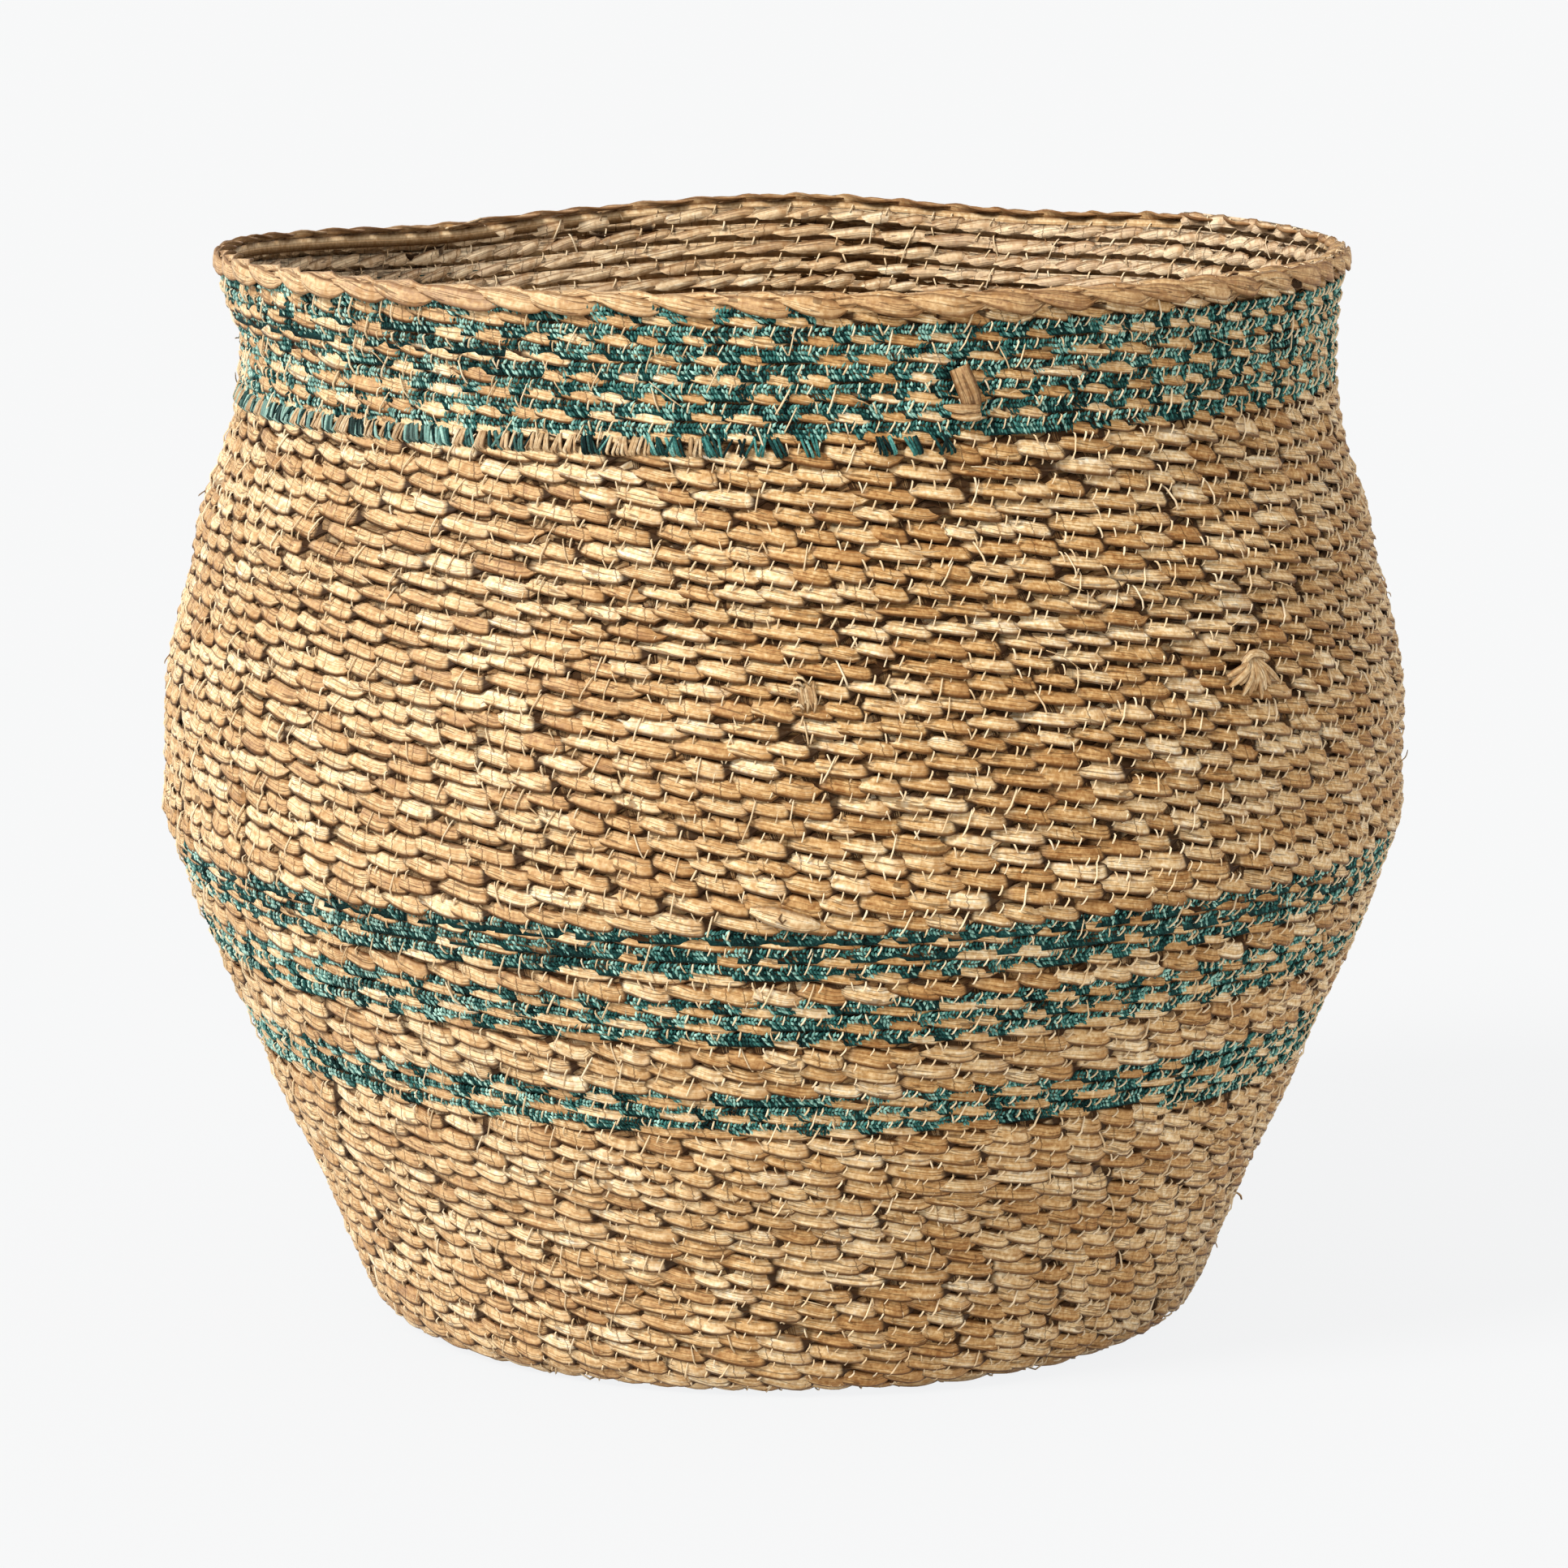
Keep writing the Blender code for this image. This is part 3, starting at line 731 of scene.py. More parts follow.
def plait_recipe():
    """Three flat strands that cross as in a braid, lapped course over course, on a band of pith."""
    recipe = Recipe("three_strand_plait", *HELIX_SIZES, "Strand Width", "Strand Thickness", "Strand Sway",
                    "Strand Drop", "Strand Sink", "Outer Width Share", "Wider At Left", "Covered Share")
    curve = recipe.copies(helix(recipe, recipe["Step"]), 3)
    run, turn, strand = recipe.named("run"), recipe.named("turn"), recipe.named("strand")
    phase, lens = lens_of(recipe, run, strand)
    outside = phase.sine().ramp(-0.1, 0.35)
    missing = is_missing(recipe, lens) * outside
    wide = recipe.chance(*STRAND_WIDTH_SHARES, lens, SEED)
    nudge = recipe.chance(-STRAND_NUDGE, STRAND_NUDGE, lens, SEED + 1)
    turned = phase - phase.sine() * STRAND_HASTE
    over = (turned * 2).sine()
    along = place_in_lens(phase).size()
    leaf = lens_width(along, LENS_MIDDLE, LENS_TIP, LENS_TIP_SHARE) * wide
    x, _, _ = recipe.parts(recipe.add("GeometryNodeInputPosition").outputs[0])
    outer_share = recipe["Outer Width Share"] + x.ramp(*NECK_WIDENS) * recipe["Wider At Left"]
    leaf = leaf * (1 - (1 - outer_share) * outside) * (1 - missing * COVERED_NARROWING)
    reach = outside * (recipe["Strand Sway"] - STRAND_SWAY) + STRAND_SWAY
    sway = nudge - turned.sine() * reach - outside * recipe["Strand Drop"]
    sink = missing * COVERED_SINK + outside * recipe["Strand Sink"]
    out = over * STRAND_LIFT - sway * LAP_SLOPE - FACE_DEPTH - sink
    curve = recipe.store(curve, "leaf", leaf)
    curve = recipe.store(curve, "tone", recipe.chance(0.0, 1.0, lens, SEED + 2))
    curve = recipe.store(curve, "front", phase.sine().ramp(-0.1, 0.3) * 2 - 1)
    curve = recipe.store(curve, "shade", missing * COVERED_SHADE)
    curve = recipe.store(curve, "along", along)
    place, outward, upward = recipe.on_wall(turn * COURSE_PITCH + LAP_LIFT + sway, turn, out)
    slope = recipe.chance(LAP_SLOPE - LAP_SLOPE_SPREAD, LAP_SLOPE + LAP_SLOPE_SPREAD, lens, SEED + 4)
    tilt = recipe.combined(outward, slope, upward)
    strands = recipe.swept(curve, place, tilt, recipe["Strand Width"], recipe["Strand Thickness"],
                           STRAND_SHAPE, recipe.named("leaf"))

    pith = recipe.store(helix(recipe, PITH_STEP), "strand", 3.0)
    # Stored as facing in, so that the pith's outer face takes the painted shade of the hollows
    pith = recipe.store(pith, "front", -1.0)
    pith = recipe.store(pith, "tone", PITH_TONE)
    place, outward, _ = recipe.on_wall(turn * COURSE_PITCH + LAP_LIFT + PITH_RISE, turn, -PITH_DEPTH)
    pith = recipe.swept(pith, place, outward, PITH_WIDTH, PITH_THICKNESS, PITH_SHAPE)
    return recipe.finish(recipe.joined(strands, pith))


def stitch_points(recipe):
    """A point for every stitch along the helix, each with its number stored."""
    sockets = {0: helix(recipe, recipe["Step"])}
    points = recipe.add("GeometryNodeCurveToPoints", {"mode": "EVALUATED"}, sockets).outputs[0]
    return recipe.store(points, "stitch", recipe.number("GeometryNodeInputIndex"))


def sewn_recipe(name, shape):
    """Short threads or wraps across a course, each from one end of its heights and depths to the other."""
    recipe = Recipe(name, *HELIX_SIZES, "Width", "Thickness", "Side", "Lean", "Long Share", "Wraps",
                    "Group Start", "Group End", "Farthest Right")
    points = stitch_points(recipe)
    stitch, wrap = recipe.named("stitch"), recipe["Wraps"]
    place = recipe.add("GeometryNodeInputPosition").outputs[0]
    x, _, _ = recipe.parts(place)
    drift = recipe.noise(place, TUFT_DRIFT_SCALE) * TUFT_DRIFT
    group = (recipe.named("run") / TUFT_PERIOD + drift) % 1.0
    outside = group.over(recipe["Group End"]).at_least(group.under(recipe["Group Start"]))
    thinned = x.ramp(*THREADS_THIN_OUT) * DROPPED_SHARE_AT_LEFT * (1 - wrap)
    blended = thinned.over(recipe.chance(0.0, 1.0, stitch, SEED + 13))
    dropped = outside.at_least(x.over(recipe["Farthest Right"])).at_least(blended)
    points = recipe.add("GeometryNodeDeleteGeometry", None, {0: points, 1: dropped}).outputs[0]
    line = recipe.add("GeometryNodeMeshLine", None, {"Count": len(SHORT_STITCH)}).outputs[0]
    line = recipe.store(line, "bead", recipe.number("GeometryNodeInputIndex"))
    lines = recipe.add("GeometryNodeInstanceOnPoints", None, {"Points": points, "Instance": line}).outputs[0]
    real = recipe.add("GeometryNodeRealizeInstances", None, {0: lines}).outputs[0]
    curve = recipe.add("GeometryNodeMeshToCurve", None, {0: real}).outputs[0]

    bead, side = recipe.named("bead"), recipe["Side"]
    rise, out = (recipe.choose(bead, [point[i] * MM for point in SHORT_STITCH]) for i in range(2))
    more = x.ramp(*LONG_THREADS_INCREASE) * LONG_STITCH_SHARE_MORE_AT_LEFT
    long = (recipe["Long Share"] + more).over(recipe.chance(0.0, 1.0, stitch, SEED + 6))
    for share, table in ((long, LONG_STITCH), (wrap, WRAP)):
        rise = rise + share * (recipe.choose(bead, [point[0] * MM for point in table]) - rise)
        out = out + share * (recipe.choose(bead, [point[1] * MM for point in table]) - out)
    lean = recipe["Lean"] + recipe.chance(-1.0, 1.0, stitch, SEED + 7) * LEAN_SPREAD
    flipped = recipe.chance(0.0, 1.0, stitch, SEED + 8).over(OTHER_LEAN_SHARE) * 2 - 1
    nudge = recipe.chance(-1.0, 1.0, stitch, SEED + 9) * recipe["Step"] * STEP_SPREAD
    turn = recipe.named("turn") + (rise * lean * flipped + nudge) / (recipe.named("reach") * math.tau)
    rise = rise + recipe.chance(-RISE_SPREAD, RISE_SPREAD, stitch, SEED + 10)
    place, outward, _ = recipe.on_wall(
        turn * COURSE_PITCH + LAP_LIFT + rise * side, turn, (out + FACE_DEPTH) * side - FACE_DEPTH)
    curve = recipe.store(curve, "tone", recipe.chance(0.0, 1.0, stitch, SEED + 11))
    curve = recipe.store(curve, "shade", wrap * TUFT_SHADE)
    scale = recipe.chance(*THREAD_WIDTH_SHARES, stitch, SEED + 12)
    return recipe.finish(recipe.swept(
        curve, place, outward, recipe["Width"], recipe["Thickness"], shape, scale))


def yarn_recipe():
    """A row of short strokes of teal yarn along the plait, over a flat core of yarn whose dark tone is
    painted shade in its shadow.
    """
    recipe = Recipe("teal_yarn", *HELIX_SIZES, "Rise", "Out", "Stroke Height", "Stroke Width", "Lean",
                    "Between Lenses", "Covered Share")
    points = stitch_points(recipe)
    run, turn, stitch = recipe.named("run"), recipe.named("turn"), recipe.named("stitch")
    hidden = 0.0
    for strand in range(3):
        phase, lens = lens_of(recipe, run, strand)
        along = place_in_lens(phase)
        low, high = HIDING_PART
        full = along.over(low) * along.under(high) * (1 - is_missing(recipe, lens))
        hidden = full.at_least(hidden)
    sockets = {0: points, 1: hidden * recipe["Between Lenses"]}
    points = recipe.add("GeometryNodeDeleteGeometry", None, sockets).outputs[0]
    rise = recipe["Rise"] + recipe.chance(-RISE_SPREAD, RISE_SPREAD, stitch, SEED + 20)
    out = recipe["Out"] + recipe.chance(*YARN_OUT_SPREAD, stitch, SEED + 21)
    place, outward, upward = recipe.on_wall(turn * COURSE_PITCH + LAP_LIFT + rise, turn, out)
    points = recipe.store(points, "outward", outward, "FLOAT_VECTOR")
    points = recipe.store(points, "tone", recipe.chance(0.0, 1.0, stitch, SEED + 22))
    swirl = (recipe.noise(place, YARN_SWIRL_SCALE) - 0.5) * YARN_SWIRL
    lean = recipe["Lean"] + swirl + recipe.chance(-YARN_LEAN_SPREAD, YARN_LEAN_SPREAD, stitch, SEED + 23)
    around = recipe.add("ShaderNodeVectorMath", {"operation": "CROSS_PRODUCT"}, {0: upward, 1: outward})
    lying = recipe.combined(upward, lean, around.outputs[0])
    points = recipe.moved(recipe.store(points, "lying", lying, "FLOAT_VECTOR"), place)
    turned = recipe.add("FunctionNodeAxesToRotation", {"primary_axis": "Z", "secondary_axis": "Y"}, {
        "Primary Axis": recipe.named("lying", "FLOAT_VECTOR"),
        "Secondary Axis": recipe.named("outward", "FLOAT_VECTOR")}).outputs[0]
    grain = recipe.add("GeometryNodeMeshUVSphere", None, {"Segments": 4, "Rings": 2, "Radius": 0.5})
    width = recipe["Stroke Width"]
    height = recipe["Stroke Height"] * recipe.chance(*YARN_LENGTH_SHARES, stitch, SEED + 24)
    strokes = recipe.add("GeometryNodeInstanceOnPoints", None, {
        "Points": points, "Instance": grain.outputs[0], "Rotation": turned,
        "Scale": recipe.vector(width, width, height)}).outputs[0]
    core = recipe.store(helix(recipe, PITH_STEP), "tone", YARN_CORE_SHADE_TONE)
    place, outward, upward = recipe.on_wall(turn * COURSE_PITCH + LAP_LIFT, turn, YARN_CORE_RISE - FACE_DEPTH)
    tilt = recipe.combined(outward, LAP_SLOPE, upward)
    core = recipe.swept(core, place, tilt, YARN_CORE_WIDTH, YARN_CORE_THICKNESS, THREAD_SHAPE)
    return recipe.finish(recipe.joined(strokes, core))


def seagrass_finish():
    """Dry seagrass: a tone for each strand and fine grain along it, with painted shade where it goes under,
    at its edges and at the tips of lenses, painted shadows of the threads across it, and painted light
    towards the left and on its inner faces.
    """
    finish = Finish("seagrass", Specular_IOR_Level=0.10)
    run, across, tone, shade, front, face, along = (
        finish.attribute(name) for name in ("run", "across", "tone", "shade", "front", "face", "along"))
    x, _, _ = finish.parts(finish.place())
    left = x.ramp(*SEAGRASS_PALES)
    braided = front.size()
    inner = face.ramp(0.2, -0.5) * braided

    def patch(scale, own, layer):
        """Noise that changes along the strands, each with its own."""
        return finish.noise(finish.vector(run * scale, tone * own, layer), 1.0)

    def streak(scale, crosswise, own, detail=0.0):
        """Noise that changes along the strands and across them."""
        return finish.noise(finish.vector(run * scale, across * crosswise, tone * own), 1.0, detail)

    # The strand's own colour, with grain, blotches and flecks
    grain = streak(70.0, 3.2, 83.0, 3.0)
    blotch = streak(260.0, 1.1, 41.0, 2.0)
    fleck = finish.noise(finish.place(), 900.0, 2.0)
    level = tone * 0.42 + grain * 0.78 + blotch * 0.46 - 0.46 + (fleck - 0.5) * 0.7
    colour = finish.ramped(level, SEAGRASS_TONES)
    # Painted light: paler towards the left of the front, and on the strands' inner faces, more so near the
    # sides
    painted_light = left * (1 - inner) * 0.12 + (x.size().ramp(0.0, 0.12) * 0.22 + 0.20) * inner
    colour = finish.mixed(painted_light + (1 - braided) * 0.08, colour, PALE_AND_PAINTED_LIGHT)

    # Rusty ends, splits along the strand, painted shadows of the threads across it, and stains
    diving = along.ramp(0.16, 0.40) * patch(48.0, 61.0, 3.0).ramp(0.36, 0.58)
    colour = finish.mixed(diving * (0.62 - left * 0.25), colour, RUSTY)
    split = streak(42.0, 2.4, 57.0)
    # Painted shadows of the threads: thin dark lines slanting across the lenses, more of them to the left
    bound = (run * 195.0 - across * 0.18 + grain * 0.3) % 1.0 - 0.5
    kept = patch(60.0, 91.0, 0.0).over(0.62 - left * 0.2)
    lines = (split - 0.5).size().under(0.026).at_least(bound.size().under(0.04) * kept * braided)
    colour = finish.mixed(lines * 0.62, colour, SPLIT_AND_SHADE_BROWN)
    stain = finish.noise(finish.place(), 420.0, 2.0).ramp(0.50, 0.66)
    colour = finish.mixed(stain * 0.46, colour, STAINED)

    # Painted shade: dark edges, and dark hollows where strands cross
    edge = across.size().ramp(0.52, 0.92) * (braided * 0.28 + 0.62 - inner * 0.55)
    colour = finish.mixed(edge, colour, EDGE_SHADE_BROWN)
    # Painted shade by the stored shade: lenses under the yarn, the tufts and some strand ends are darkened
    colour = finish.mixed(shade.at_most(1.0) * 0.72, colour, SPLIT_AND_SHADE_BROWN)
    # Painted shade on the faces that turn into the wall, left out in some lit patches, and dark spots at the
    # tips of some outer lenses
    lit = patch(55.0, 37.0, 9.0).over(0.56 - left * 0.14)
    hollow_shade = (front * face).ramp(0.2, -0.5) * braided * (1 - lit * 0.42)
    picked = patch(52.0, 29.0, 6.0).over(0.40)
    tip = along.ramp(0.33, 0.37) * (1 - inner) * front.at_least(0.0) * picked
    colour = finish.mixed(hollow_shade.at_least(tip) * 0.96, colour, HOLLOW_SHADE_BROWN)
    # Deeper painted shade, where the stored shade passes 1
    colour = finish.mixed((shade - 1.0).at_least(0.0) * 2.6, colour, DEEP_SHADE_BROWN)
    rough = 0.66 - grain * 0.22 + hollow_shade * 0.4
    return finish.finish(colour, rough, grain + fleck * 0.25 - lines * 0.5, SEAGRASS_RELIEF)


def thread_finish():
    """Pale twisted sewing thread."""
    finish = Finish("sewing_thread", Specular_IOR_Level=0.15)
    fibre = finish.noise(finish.place(), 1500.0, 2.0)
    colour = finish.ramped(finish.attribute("tone") * 0.6 + fibre * 0.4, THREAD_TONES)
    return finish.finish(colour, 0.55 + fibre * 0.2, fibre, THREAD_RELIEF)


def yarn_finish():
    """Teal yarn, matt, from near black to aqua: its dark core stands for shade in its hollows, the stored
    shade darkens it as painted shade, and painted light makes it paler towards the left.
    """
    finish = Finish("teal_yarn", Specular_IOR_Level=0.10)
    tone = finish.attribute("tone")
    patch = finish.noise(finish.place(), 60.0, 1.0)
    fibre = finish.noise(finish.place(), 1600.0, 2.0)
    # The stored shade darkens the tufts, as painted shade
    level = tone * 0.9 + fibre * 0.6 + patch * 0.5 - 0.50 - finish.attribute("shade")
    # Painted light: the paler strokes grow paler towards the left, where the key light falls
    x, _, _ = finish.parts(finish.place())
    pale = x.ramp(*YARN_PAINTED_LIGHT_SPAN) * tone.ramp(0.2, 0.9) * 0.35
    colour = finish.mixed(pale, finish.ramped(level, YARN_TONES), YARN_PAINTED_LIGHT)
    return finish.finish(colour, 0.7 + fibre * 0.2, fibre, YARN_RELIEF)


def read(items, name, kind=np.float32, width=1):
    """A value, or a few, of each of a mesh's points, corners or faces."""
    values = np.zeros(len(items) * width, dtype=kind)
    items.foreach_get(name, values)
    return values


def corner_numbers(mesh, name):
    """A stored number for each corner of a mesh's faces."""
    return read(mesh.attributes[name].data, "value")[read(mesh.loops, "vertex_index", np.int32)]


def add_layout(mesh, across, up):
    """Give a mesh the UV map named OFBake."""
    uv = np.stack([across, up], axis=1).astype(np.float32)
    mesh.uv_layers.new(name="OFBake").uv.foreach_set("vector", uv.ravel())


def lay_out_strands(piece, first):
    """A UV map with one row for each turn of each strand."""
    mesh = piece.data
    starts = read(mesh.polygons, "loop_start", np.int32)
    counts = read(mesh.polygons, "loop_total", np.int32)
    turn, around, strand = (corner_numbers(mesh, name) for name in ("turn", "around", "strand"))
    whole = np.repeat(np.floor(np.minimum.reduceat(turn, starts)), counts)
    low = np.repeat(np.minimum.reduceat(around, starts), counts)
    high = np.repeat(np.maximum.reduceat(around, starts), counts)
    around = np.where((high - low > 0.5) & (around < 0.4), around + 1.0, around)
    row = (whole - math.floor(first)) * 4 + strand
    height = row + ROW_MARGIN + (1 - 2 * ROW_MARGIN) * around
    add_layout(mesh, (turn - whole) / TURN_ROOM, height / (row.max() + 1))


def lay_out_cells(piece):
    """A UV map with one small cell for each loose part."""
    mesh = piece.data
    cell = corner_numbers(mesh, "stitch")
    side = math.ceil(math.sqrt(cell.max() + 1))
    places = read(mesh.vertices, "co", width=3).reshape(-1, 3)[read(mesh.loops, "vertex_index", np.int32)]
    spread = 0.5 + CELL_SPREAD * np.sin(places[:, :2] * CELL_SCALE)
    add_layout(mesh, (cell % side + spread[:, 0]) / side, (cell // side + spread[:, 1]) / side)


def rim_recipe():
    """The thick plait of the rim: three strands that close on themselves, round a core."""
    recipe = Recipe("rim_plait", "Radius", "Height", "Strand Width", "Strand Thickness")
    circle = recipe.add("GeometryNodeCurvePrimitiveCircle", None, {"Resolution": RIM_POINTS}).outputs[0]
    circle = recipe.store(circle, "turn", recipe.number("GeometryNodeInputIndex") / RIM_POINTS)
    turn, strand = recipe.named("turn"), recipe.named("strand")
    angle = turn * math.tau
    cosine, sine = angle.cosine(), angle.sine()
    uneven = recipe.noise(recipe.vector(cosine * RIM_WAVE_SCALE, sine * RIM_WAVE_SCALE, 0.5), 1.0) - 0.5
    own_place = recipe.vector(cosine * RIM_DRIFT_SCALE, sine * RIM_DRIFT_SCALE, strand * 3.0)
    drift = recipe.noise(own_place, 1.0) - 0.5
    cycle = turn * RIM_CROSSINGS + strand / 3 + drift * RIM_DRIFT
    lens = ((cycle + 3 / 8).floor() % RIM_CROSSINGS) * 3 + strand
    phase = cycle * math.tau
    turned = phase - phase.sine() * STRAND_HASTE
    height = turned.sine() * -RIM_SWAY
    hanging = height.at_most(0.0)
    folded = height.at_least(0.0)
    lift = (turned * 2).sine() * RIM_LIFT
    lean = (-cosine).at_least(0.0) * LEFT_RIM_REACH
    radius = recipe["Radius"] + uneven * RIM_WAVE + lean + lift - folded * RIM_FOLD_IN
    top = recipe["Height"] - recipe.dip(cosine, sine, recipe["Height"])
    place = recipe.vector(radius * cosine, radius * sine, top + hanging + folded * RIM_FOLD_UP)
    turned_in = folded / RIM_SWAY
    facing = recipe.vector(cosine * (1 - turned_in), sine * (1 - turned_in), turned_in + 0.1)
    along = place_in_lens(phase).size()
    leaf = lens_width(along, RIM_LENS_MIDDLE, RIM_LENS_TIP, RIM_LENS_TIP_SHARE)
    curve = recipe.copies(circle, 3)
    curve = recipe.store(curve, "run", turn * (math.tau * RIM_MIDDLE_RADIUS))
    curve = recipe.store(curve, "tone", recipe.chance(*RIM_TONES, lens, SEED + 30))
    curve = recipe.store(curve, "leaf", leaf * recipe.chance(*RIM_WIDTH_SHARES, lens, SEED + 31))
    curve = recipe.store(curve, "along", along)
    strands = recipe.swept(curve, place, facing, recipe["Strand Width"], recipe["Strand Thickness"],
                           RIM_SHAPE, recipe.named("leaf"))
    core = recipe.store(recipe.store(circle, "strand", 3.0), "tone", RIM_CORE_TONE)
    inner = recipe["Radius"] - RIM_CORE_DEPTH
    middle = recipe.vector(inner * cosine, inner * sine, top - RIM_CORE_DROP)
    core = recipe.swept(core, middle, recipe.vector(cosine, sine, 0.0), RIM_CORE_WIDTH, RIM_CORE_THICKNESS,
                        THREAD_SHAPE)
    return recipe.finish(recipe.joined(strands, core))


def laid_recipe():
    """Lays strands that were drawn flat on the wall, each point at its own length, turn and height off it."""
    recipe = Recipe("laid_strands")
    place, _, _ = recipe.on_wall(recipe.named("length"), recipe.named("turn"), recipe.named("out"))
    return recipe.finish(recipe.moved(recipe.given.outputs["Start"], place))


def length_at(height):
    """Length along the outline at a height of the wall."""
    return float(np.interp(height, OUTLINE[OUTLINE_SAMPLES:, 1], LENGTHS[OUTLINE_SAMPLES:]))


class Leaves:
    """Flat strands drawn one by one, each swept along its own path, gathered into one mesh."""

    def __init__(self):
        self.points = []
        self.faces = []
        self.numbers = {name: [] for name in ("run", "across", "around", "tone", "shade", "stitch",
                                              "turn", "length", "out")}
        self.count = 0

    def add(self, path, width, thickness, tone, ends, middle, facing=(0.0, 0.0, 1.0), shade=0.0):
        """One strand along a smooth path in millimetres, with the shares of its width at its ends.

        Round a middle on the wall, the path is drawn flat: to the right, up and out.
        """
        path = smooth_path(path) * MM
        tangents = np.gradient(path, axis=0)
        tangents /= np.linalg.norm(tangents, axis=1)[:, None]
        sides = np.cross(np.array(facing), tangents)
        sides /= np.linalg.norm(sides, axis=1)[:, None]
        normals = np.cross(tangents, sides)
        share = np.linspace(0.0, 1.0, len(path))
        rise = np.sin(np.clip(share / LEAF_WIDENS, 0.0, 1.0) * math.pi / 2)
        fall = np.sin(np.clip((1 - share) / LEAF_NARROWS, 0.0, 1.0) * math.pi / 2)
        profile = (ends[0] + (1 - ends[0]) * rise) * (ends[1] + (1 - ends[1]) * fall)
        angles = np.arange(LEAF_CORNERS) * math.tau / LEAF_CORNERS
        broad = np.sign(np.cos(angles)) * np.abs(np.cos(angles)) ** LEAF_SQUARENESS
        thick = np.sin(angles) / np.sin(angles).max()
        base = len(self.points)
        for i, place in enumerate(path):
            for j in range(LEAF_CORNERS):
                point = place + sides[i] * broad[j] * width * MM / 2 * profile[i] + (
                    normals[i] * thick[j] * thickness * MM / 2 * min(1.0, profile[i] + 0.3))
                run = self.count * 0.031 + share[i] * len(path) * PATH_STEP * MM
                self.keep_point(point, middle, run=run, across=broad[j], around=j / LEAF_CORNERS,
                                tone=tone, shade=shade, stitch=self.count)
        for i in range(len(path) - 1):
            near = base + i * LEAF_CORNERS
            far = near + LEAF_CORNERS
            for j in range(LEAF_CORNERS):
                after = (j + 1) % LEAF_CORNERS
                self.faces.append((near + j, near + after, far + after, far + j))
        last = base + (len(path) - 1) * LEAF_CORNERS
        self.faces.append(tuple(base + j for j in reversed(range(LEAF_CORNERS))))
        self.faces.append(tuple(last + j for j in range(LEAF_CORNERS)))
        self.count += 1

    def keep_point(self, point, middle, **numbers):
        """Store a point, and its place on the wall when it is drawn round a middle of azimuth and height."""
        if middle is None:
            turn, length, out = 0.0, 0.0, 0.0
        else:
            azimuth, height = middle
            length = length_at(height) + point[1]
            reach = float(np.interp(length, LENGTHS, OUTLINE[:, 0]))
            turn = (math.radians(azimuth) - SEAM_ANGLE) / math.tau + point[0] / (math.tau * reach)
            out = point[2]
            angle = turn * math.tau + SEAM_ANGLE
            point = (reach * math.cos(angle), reach * math.sin(angle), height)
        self.points.append(tuple(point))
        for name, value in (numbers | {"turn": turn, "length": length, "out": out}).items():
            self.numbers[name].append(value)

    def mesh(self, name, material):
        mesh = bpy.data.meshes.new(name)
        mesh.from_pydata(self.points, [], self.faces)
        for key, values in self.numbers.items():
            values = np.array(values, dtype=np.float32)
            mesh.attributes.new(key, "FLOAT", "POINT").data.foreach_set("value", values)
        mesh.materials.append(material)
        mesh.shade_smooth()
        return mesh


def smooth_path(path):
    """Points every step or so of a smooth curve through a path's points, in millimetres."""
    path = np.array(path, dtype=float)
    lengths = np.concatenate([[0.0], np.cumsum(np.linalg.norm(np.diff(path, axis=0), axis=1))])
    ends = np.concatenate([[2 * path[0] - path[1]], path, [2 * path[-1] - path[-2]]])
    points = []
    count = max(4, int(lengths[-1] / PATH_STEP))
    for length in np.linspace(0.0, lengths[-1], count):
        i = int(np.clip(np.searchsorted(lengths, length) - 1, 0, len(path) - 2))
        t = (length - lengths[i]) / (lengths[i + 1] - lengths[i])
        a, b, c, d = ends[i:i + 4]
        points.append(0.5 * (2 * b + (c - a) * t + (2 * a - 5 * b + 4 * c - d) * t ** 2
                             + (3 * b - a - 3 * c + d) * t ** 3))
    return np.array(points)


def middle_of(node):
    """The azimuth and height of a small node's middle."""
    low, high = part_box(node)
    middle = (low + high) / 2
    return math.degrees(math.atan2(middle.y, middle.x)), middle.z


def splice_fan():
    """Strand ends that spread downwards from a bound point."""
    leaves = Leaves()
    middle = middle_of("splice_fan")
    for i, degrees in enumerate((-68, -54, -41, -29, -17, -6, 6, 19, 33, 50)):
        angle = math.radians(degrees)
        reach = 10.5 + 1.6 * math.sin(i * 2.3)
        right = math.sin(angle) * (reach + 1.6)
        up = 5.0 - math.cos(angle) * reach
        path = [(0.8 * math.sin(angle), 5.5, 0.9),
                (right * 0.45, 5.0 + (up - 5.0) * 0.5, 1.9 + 0.25 * (i % 2)),
                (right, up, 0.7)]
        leaves.add(path, 2.2 + 0.4 * (i % 3), 0.8, 0.25 + 0.15 * (i % 4), (0.35, 0.45), middle, shade=0.1)
    leaves.add([(-4.5, 4.8, 0.6), (-1.0, 6.3, 1.7), (3.5, 5.9, 1.4), (7.5, 4.4, 0.4)],
               2.6, 1.0, 0.6, (0.3, 0.4), middle)
    leaves.add([(-5.2, -0.6, 0.4), (-4.8, 3.6, 1.5), (-1.2, 6.0, 1.8), (1.5, 5.2, 1.2)],
               2.0, 0.9, 0.8, (0.5, 0.3), middle)
    return leaves


